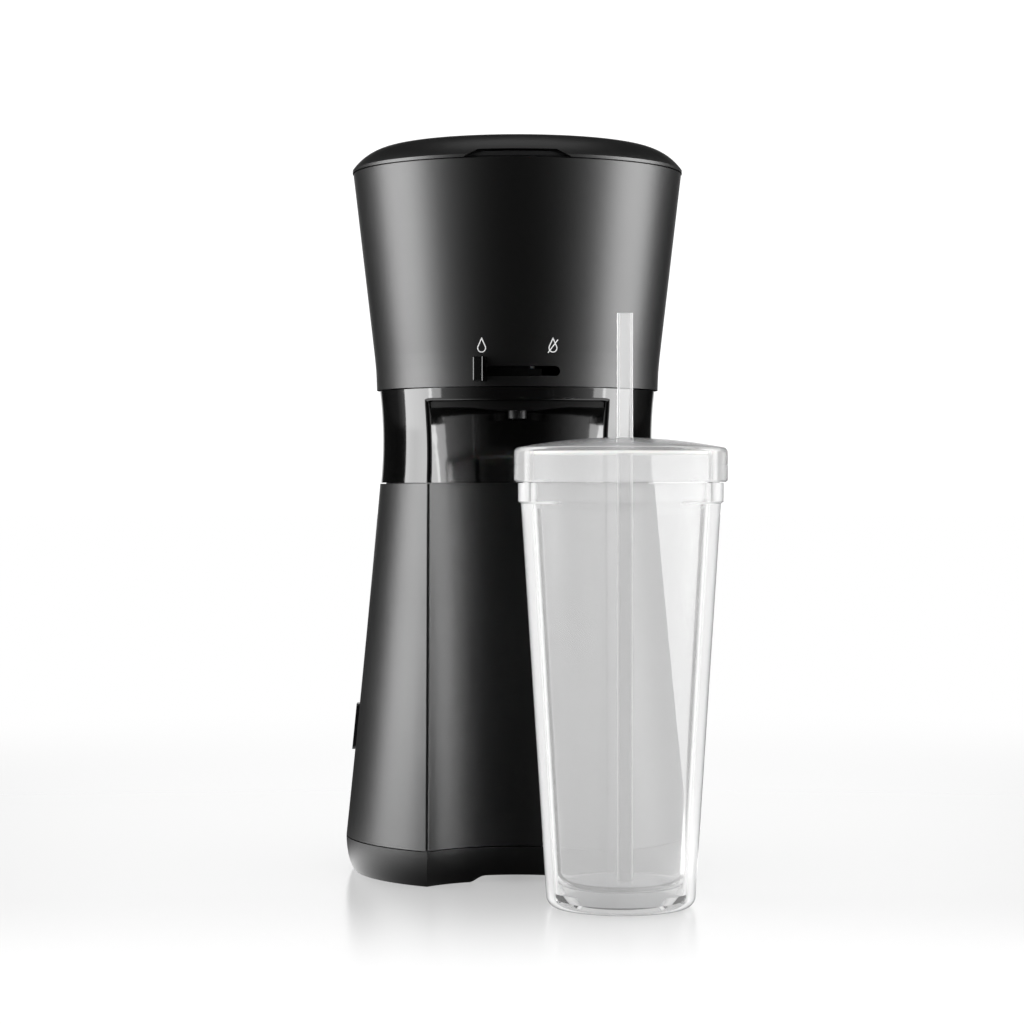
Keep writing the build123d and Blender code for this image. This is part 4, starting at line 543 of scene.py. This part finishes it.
def add_slash(drop):
    """Add the diagonal stroke of the closed mark to a drop."""
    start_clean()
    bpy.ops.mesh.primitive_plane_add(size=1.0)
    slash = bpy.context.object
    slash.scale = (DROP_LINE, SLASH_LENGTH, 1.0)
    slash.rotation_euler = (0, 0, math.radians(SLASH_TURN_DEG))
    slash.location = (0.0, SLASH_RISE, 0.0)
    bpy.ops.object.transform_apply(location=True, rotation=True, scale=True)
    bpy.ops.object.mode_set(mode="EDIT")
    bpy.ops.mesh.select_all(action="SELECT")
    bpy.ops.mesh.subdivide(number_cuts=6)
    bpy.ops.object.mode_set(mode="OBJECT")
    drop.select_set(True)
    bpy.context.view_layer.objects.active = drop
    bpy.ops.object.join()
    return drop


def thicken(piece, depth):
    """Give a flat outline the thickness of a coat of ink."""
    start_clean()
    piece.select_set(True)
    bpy.context.view_layer.objects.active = piece
    coat = piece.modifiers.new("ink_coat", "SOLIDIFY")
    coat.thickness = depth
    coat.offset = -1.0
    bpy.ops.object.modifier_apply(modifier=coat.name)


# %% Model both marks
open_mark = flat_drop("open_mark")
closed_mark = add_slash(flat_drop("closed_mark"))
for mark, x in ((open_mark, OPEN_MARK_X), (closed_mark, CLOSED_MARK_X)):
    thicken(mark, INK_PROUD)
    lay_on_head(mark, x, MARK_Z)
    finish_piece(mark, white_ink, "machine")
print("marks printed:", open_mark.name, closed_mark.name)

# %% [markdown]
# ## Switch marks
# Below the power button the photograph shows three tiny white marks edge on. The usual ones
# are a bar for on, a ring for off and the broken ring of a standby switch, so these stand
# there, wrapped on the flared body's side.

# %% Values of the lower body's side
BASE_SEAM_R = 0.0827
BASE_SEAM_Z = 0.0166
BODY_TOP_R = 0.0664
BODY_TOP_Z = 0.186
BODY_SAG = 0.00035
SWITCH_LINE = 0.0004


def body_radius(z):
    share = (z - BASE_SEAM_Z) / (BODY_TOP_Z - BASE_SEAM_Z)
    sag = BODY_SAG * (1 - (2 * share - 1) ** 2)
    return BASE_SEAM_R + (BODY_TOP_R - BASE_SEAM_R) * share - sag


def lay_on_side(piece, z):
    """Wrap a flat piece in XY round the body's left side, its middle at height z."""
    for vertex in piece.data.vertices:
        height = z + vertex.co.y
        radius = body_radius(height) + INK_PROUD + vertex.co.z
        turn = vertex.co.x / radius
        vertex.co = (-radius * math.cos(turn), -radius * math.sin(turn), height)


def flat_ring(name, radius, gap_deg=0.0):
    """Flat ring of one line's width, open at its top when a gap is given."""
    start_clean()
    bpy.ops.mesh.primitive_circle_add(vertices=48, radius=radius, fill_type="NGON")
    ring = bpy.context.object
    ring.name = name
    bpy.ops.object.mode_set(mode="EDIT")
    bpy.ops.mesh.select_all(action="SELECT")
    bpy.ops.mesh.inset(thickness=SWITCH_LINE)
    bpy.ops.mesh.delete(type="FACE")
    bpy.ops.object.mode_set(mode="OBJECT")
    if gap_deg:
        cut = bmesh.new()
        cut.from_mesh(ring.data)
        opened = []
        for face in cut.faces:
            middle = face.calc_center_median()
            if abs(math.degrees(math.atan2(middle.x, middle.y))) < gap_deg:
                opened.append(face)
        bmesh.ops.delete(cut, geom=opened, context="FACES")
        cut.to_mesh(ring.data)
        cut.free()
    return ring


def flat_bar(name, width, length, y=0.0):
    """Flat upright bar in the XY plane, its middle at height y."""
    start_clean()
    bpy.ops.mesh.primitive_plane_add(size=1.0)
    bar = bpy.context.object
    bar.name = name
    bar.scale = (width, length, 1.0)
    bar.location = (0.0, y, 0.0)
    bpy.ops.object.transform_apply(location=True, rotation=True, scale=True)
    bpy.ops.object.mode_set(mode="EDIT")
    bpy.ops.mesh.select_all(action="SELECT")
    bpy.ops.mesh.subdivide(number_cuts=4)
    bpy.ops.object.mode_set(mode="OBJECT")
    return bar


# %% Print the switch marks
standby_ring = flat_ring("standby_mark", 0.0020, gap_deg=32)
standby_bar = flat_bar("standby_bar", SWITCH_LINE, 0.0020, 0.0012)
start_clean()
standby_bar.select_set(True)
standby_ring.select_set(True)
bpy.context.view_layer.objects.active = standby_ring
bpy.ops.object.join()
on_bar = flat_bar("on_mark", 0.0005, 0.0024)
off_ring = flat_ring("off_mark", 0.0013)
for mark, z in ((on_bar, 0.0454), (off_ring, 0.0415), (standby_ring, 0.0366)):
    thicken(mark, INK_PROUD)
    lay_on_side(mark, z)
    finish_piece(mark, white_ink, "machine")
print("switch marks printed: 3")

# %% [markdown]
# ## Screws with their recess
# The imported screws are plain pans. A real one has a rounded rim and a cross recess, which
# shows as soon as the lid opens or the machine lies on its side. One screw is modelled from a
# cylinder: its rim is bevelled and a cross is cut in its head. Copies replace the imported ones.

# %% Values of the screws
SCREW_R = 0.0014
SCREW_HEAD_R = 0.0026
SCREW_HEAD = 0.0017
RIM_BEVEL = 0.0007
RECESS_LONG = 0.0026
RECESS_WIDE = 0.0006
RECESS_TALL = 0.0018


def cross_screw(length):
    """Pan-head screw with its seat at z = 0, head upwards."""
    start_clean()
    bpy.ops.mesh.primitive_cylinder_add(
        vertices=48, radius=SCREW_HEAD_R, depth=SCREW_HEAD, location=(0, 0, SCREW_HEAD / 2)
    )
    screw = bpy.context.object
    bpy.ops.object.transform_apply(location=True, rotation=False, scale=False)
    bpy.ops.object.mode_set(mode="EDIT")
    bpy.ops.mesh.select_all(action="DESELECT")
    bpy.ops.object.mode_set(mode="OBJECT")
    for edge in screw.data.edges:
        ends = [screw.data.vertices[i].co.z for i in edge.vertices]
        edge.select = min(ends) > SCREW_HEAD - 1e-6
    bpy.ops.object.mode_set(mode="EDIT")
    bpy.ops.mesh.select_mode(type="EDGE")
    bpy.ops.mesh.bevel(offset=RIM_BEVEL, segments=4)
    bpy.ops.object.mode_set(mode="OBJECT")
    for turn in (0, 90):
        bpy.ops.mesh.primitive_cube_add(size=1.0, location=(0, 0, SCREW_HEAD))
        cutter = bpy.context.object
        cutter.scale = (RECESS_LONG, RECESS_WIDE, RECESS_TALL)
        cutter.rotation_euler = (0, 0, math.radians(turn))
        bpy.ops.object.transform_apply(location=True, rotation=True, scale=True)
        start_clean()
        screw.select_set(True)
        bpy.context.view_layer.objects.active = screw
        cut = screw.modifiers.new("recess", "BOOLEAN")
        cut.object = cutter
        cut.solver = "EXACT"
        bpy.ops.object.modifier_apply(modifier=cut.name)
        bpy.data.objects.remove(cutter)
    bpy.ops.mesh.primitive_cylinder_add(
        vertices=32, radius=SCREW_R, depth=length, location=(0, 0, 0.0002 - length / 2)
    )
    bpy.ops.object.transform_apply(location=True, rotation=False, scale=False)
    screw.select_set(True)
    bpy.context.view_layer.objects.active = screw
    bpy.ops.object.join()
    return screw


def places_on(radius, turns):
    """Points on a circle round the machine's axis, at these turns in degrees."""
    places = []
    for turn in turns:
        places.append((radius * math.cos(math.radians(turn)), radius * math.sin(math.radians(turn))))
    return places


def screw_group(name, node, places, seat_z, length, body, head_up=True):
    """Copies of the screw at its places, joined to one piece that replaces the node."""
    pattern = cross_screw(length)
    copies = []
    for index, (x, y) in enumerate(places):
        copy = pattern.copy()
        copy.data = pattern.data.copy()
        bpy.context.scene.collection.objects.link(copy)
        flip = Matrix.Identity(4) if head_up else Matrix.Rotation(math.pi, 4, "X")
        spin = Matrix.Rotation(math.radians(23 + 67 * index), 4, "Z")
        copy.data.transform(Matrix.Translation((x, y, seat_z)) @ spin @ flip)
        copies.append(copy)
    bpy.data.objects.remove(pattern)
    start_clean()
    for copy in copies:
        copy.select_set(True)
    bpy.context.view_layer.objects.active = copies[0]
    bpy.ops.object.join()
    group = bpy.context.object
    group.name = name
    finish_piece(group, plated_steel, body, smooth=True)
    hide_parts(node)


# %% Place the screws
DECK_SCREWS = places_on(0.0729, (192, 230, 310, 348))
BASE_SCREWS = places_on(0.0620, (10, 60, 120, 170))
LID_SCREWS = places_on(0.0600, (30, 100, 170, 230, 310))
screw_group("deck_cross_screws", "deck_screws", DECK_SCREWS, 0.3275, 0.0046, "machine")
screw_group("base_cross_screws", "base_screws", BASE_SCREWS, 0.0034, 0.0134, "machine", False)
screw_group("lid_cross_screws", "lid_screws", LID_SCREWS, 0.3366, 0.0070, "lid", False)
print("screws placed: 13")

# %% [markdown]
# ## Studio
# The studio is a seamless white table and background with tall soft boxes at the sides. The
# world is the room, and it answers each kind of ray by itself. The camera sees plain white.
# Matt surfaces get an even white light. Mirror images see a dark room with white straight behind
# the object and light walls at the sides, which keeps the middle of a round black machine black.


# %% Room
AMBIENT = 1.15
SIDE_FALL = 5.0
WALL_LIGHT = 2.7
DARK_ROOM = 0.02
world = bpy.data.worlds.new("studio_room")
bpy.context.scene.world = world
world.use_nodes = True
room = world.node_tree
room.nodes.clear()
room_out = add_node(room, "ShaderNodeOutputWorld")
ray = add_node(room, "ShaderNodeLightPath")
direction = add_node(room, "ShaderNodeTexCoord")
axes = add_node(room, "ShaderNodeSeparateXYZ", {"Vector": direction.outputs["Generated"]})
behind = add_node(
    room,
    "ShaderNodeMapRange",
    {"Value": axes.outputs["Y"], "From Min": 0.93, "From Max": 0.98, "To Min": DARK_ROOM, "To Max": 1.0},
    interpolation_type="SMOOTHSTEP",
)
before = add_node(
    room,
    "ShaderNodeMapRange",
    {"Value": axes.outputs["Y"], "From Min": -0.15, "From Max": 0.15, "To Min": WALL_LIGHT, "To Max": 0.0},
)
sideways = add_math(room, "ABSOLUTE", axes.outputs["X"])
walls = add_math(room, "MULTIPLY", add_math(room, "POWER", sideways, SIDE_FALL), before.outputs["Result"])
seen = add_math(room, "MAXIMUM", ray.outputs["Is Camera Ray"], ray.outputs["Is Transmission Ray"])
mirrored = add_math(room, "ADD", behind.outputs["Result"], walls)
glossy = add_math(room, "MULTIPLY", ray.outputs["Is Glossy Ray"], mirrored)
not_glossy = add_math(room, "SUBTRACT", 1.0, ray.outputs["Is Glossy Ray"])
diffuse = add_math(room, "MULTIPLY", not_glossy, AMBIENT)
strength = add_math(room, "MAXIMUM", seen, add_math(room, "ADD", glossy, diffuse))
sky = add_node(room, "ShaderNodeBackground", {"Color": linear("#ffffff"), "Strength": strength})
room.links.new(sky.outputs["Background"], room_out.inputs["Surface"])

# %% [markdown]
# ### Table
# The table is white acrylic. To the camera it is part diffuse, so that it takes the object's
# soft shadow, and part glow, so that it stays white, with a dim mirror image that dies away
# towards the front. Farther out it fades to plain white, so no edge shows. Black plastic mirrors
# the table too: there the table glows, painted light that stands in for the soft boxes' light on
# it, dark in front and light at the sides, as the room is.


# %% Table
TABLE_SIZE = 30.0
SHADE_SHARE = 0.34
GLOW = 0.66


def emission(tree, strength):
    """White glow of this strength."""
    made = add_node(tree, "ShaderNodeEmission", {"Color": linear("#ffffff"), "Strength": strength})
    return made.outputs["Emission"]


def table_in_mirrors(tree, place):
    """What glossy rays see: a painted glow standing in for the soft boxes' light on the table, light at the
    sides, dim behind the object.
    """
    toward = add_node(tree, "ShaderNodeVectorMath", {0: place}, operation="NORMALIZE")
    heading = add_node(tree, "ShaderNodeSeparateXYZ", {"Vector": toward.outputs["Vector"]})
    beside = add_math(tree, "POWER", add_math(tree, "ABSOLUTE", heading.outputs["X"]), SIDE_FALL)
    lit_side = add_node(tree, "ShaderNodeMapRange", {"Value": beside, "To Min": 0.04, "To Max": 2.2})
    dim_rear = add_node(
        tree,
        "ShaderNodeMapRange",
        {"Value": heading.outputs["Y"], "From Min": 0.0, "From Max": 0.5, "To Min": 1.0, "To Max": 0.1},
    )
    # Painted light: the table glows in mirror images, brightest at the sides.
    return emission(tree, add_math(tree, "MULTIPLY", lit_side.outputs["Result"], dim_rear.outputs["Result"]))


def table_near(tree, place):
    """What the camera sees near the object: shadow, glow and a mirror image that dies away."""
    shaded = add_node(tree, "ShaderNodeBsdfDiffuse", {"Color": (SHADE_SHARE, SHADE_SHARE, SHADE_SHARE, 1.0)})
    near = add_node(tree, "ShaderNodeAddShader")
    tree.links.new(shaded.outputs["BSDF"], near.inputs[0])
    tree.links.new(emission(tree, GLOW), near.inputs[1])
    mirror = add_node(tree, "ShaderNodeBsdfGlossy", {"Color": linear("#ffffff"), "Roughness": 0.20})
    glaze = add_node(tree, "ShaderNodeFresnel", {"IOR": 1.32})
    spot = add_node(tree, "ShaderNodeSeparateXYZ", {"Vector": place})
    dying = add_node(
        tree,
        "ShaderNodeMapRange",
        {"Value": spot.outputs["Y"], "From Min": -0.32, "From Max": -0.09},
        interpolation_type="SMOOTHSTEP",
    )
    image = add_math(tree, "MULTIPLY", glaze.outputs["Fac"], dying.outputs["Result"])
    return mix_shaders(tree, image, near.outputs["Shader"], mirror.outputs["BSDF"])


def table_finish():
    """White acrylic that answers camera, glossy and diffuse rays in three ways."""
    finish, output, place = start_finish("acrylic_white_table")
    tree = finish.node_tree
    path = add_node(tree, "ShaderNodeLightPath")
    away = add_node(tree, "ShaderNodeVectorMath", {0: place}, operation="LENGTH")
    fade = add_node(
        tree,
        "ShaderNodeMapRange",
        {"Value": away.outputs["Value"], "From Min": 0.45, "From Max": 0.95},
        interpolation_type="SMOOTHSTEP",
    )
    to_camera = mix_shaders(tree, fade.outputs["Result"], table_near(tree, place), emission(tree, 1.0))
    bounce = add_node(tree, "ShaderNodeBsdfDiffuse", {"Color": linear("#f0f0f0")})
    to_others = mix_shaders(
        tree, path.outputs["Is Glossy Ray"], bounce.outputs["BSDF"], table_in_mirrors(tree, place)
    )
    seen_ray = add_math(tree, "MAXIMUM", path.outputs["Is Camera Ray"], path.outputs["Is Transmission Ray"])
    tree.links.new(mix_shaders(tree, seen_ray, to_others, to_camera), output.inputs["Surface"])
    return finish


start_clean()
bpy.ops.mesh.primitive_plane_add(size=TABLE_SIZE, location=(0, 0, 0))
table = bpy.context.object
table.name = "studio_table"
table.data.materials.append(table_finish())

# %% [markdown]
# ### Lamps
# Each side has a tall soft box and a narrow one a little in front of it, which become the two
# upright bands of light on the machine. A dim one overhead draws the lid's edge. All are hidden
# from diffuse rays: they would light the clear cup's painted haze from one side, and the room
# does that evenly.

# %% Lamps
SOFT_BOX_TALL = 1.1
MACHINE_MIDDLE = (0, 0, 0.25)


def soft_box(name, place, width, power, height=SOFT_BOX_TALL, aim=MACHINE_MIDDLE):
    lamp_data = bpy.data.lights.new(name, "AREA")
    lamp_data.shape = "RECTANGLE"
    lamp_data.size = width
    lamp_data.size_y = height
    lamp_data.energy = power
    lamp = bpy.data.objects.new(name, lamp_data)
    lamp.location = place
    look = Vector(aim) - Vector(place)
    lamp.rotation_euler = look.to_track_quat("-Z", "Y").to_euler()
    lamp.visible_diffuse = False
    bpy.context.scene.collection.objects.link(lamp)


soft_box("left_box", (-1.0, 0.0, 0.40), 0.60, 16.5)
soft_box("right_box", (1.0, 0.0, 0.40), 0.60, 16.5)
soft_box("left_fill", (-0.94, -0.33, 0.40), 0.22, 3.6)
soft_box("right_fill", (0.94, -0.33, 0.40), 0.22, 3.6)
soft_box("top_box", (0.0, 0.25, 1.5), 0.9, 1.5, height=0.7, aim=(0, 0, 0.2))

# %% [markdown]
# ## Last step
# The script ends with nothing selected and no edit mode left open.

# %% Finish with a clean selection
start_clean()
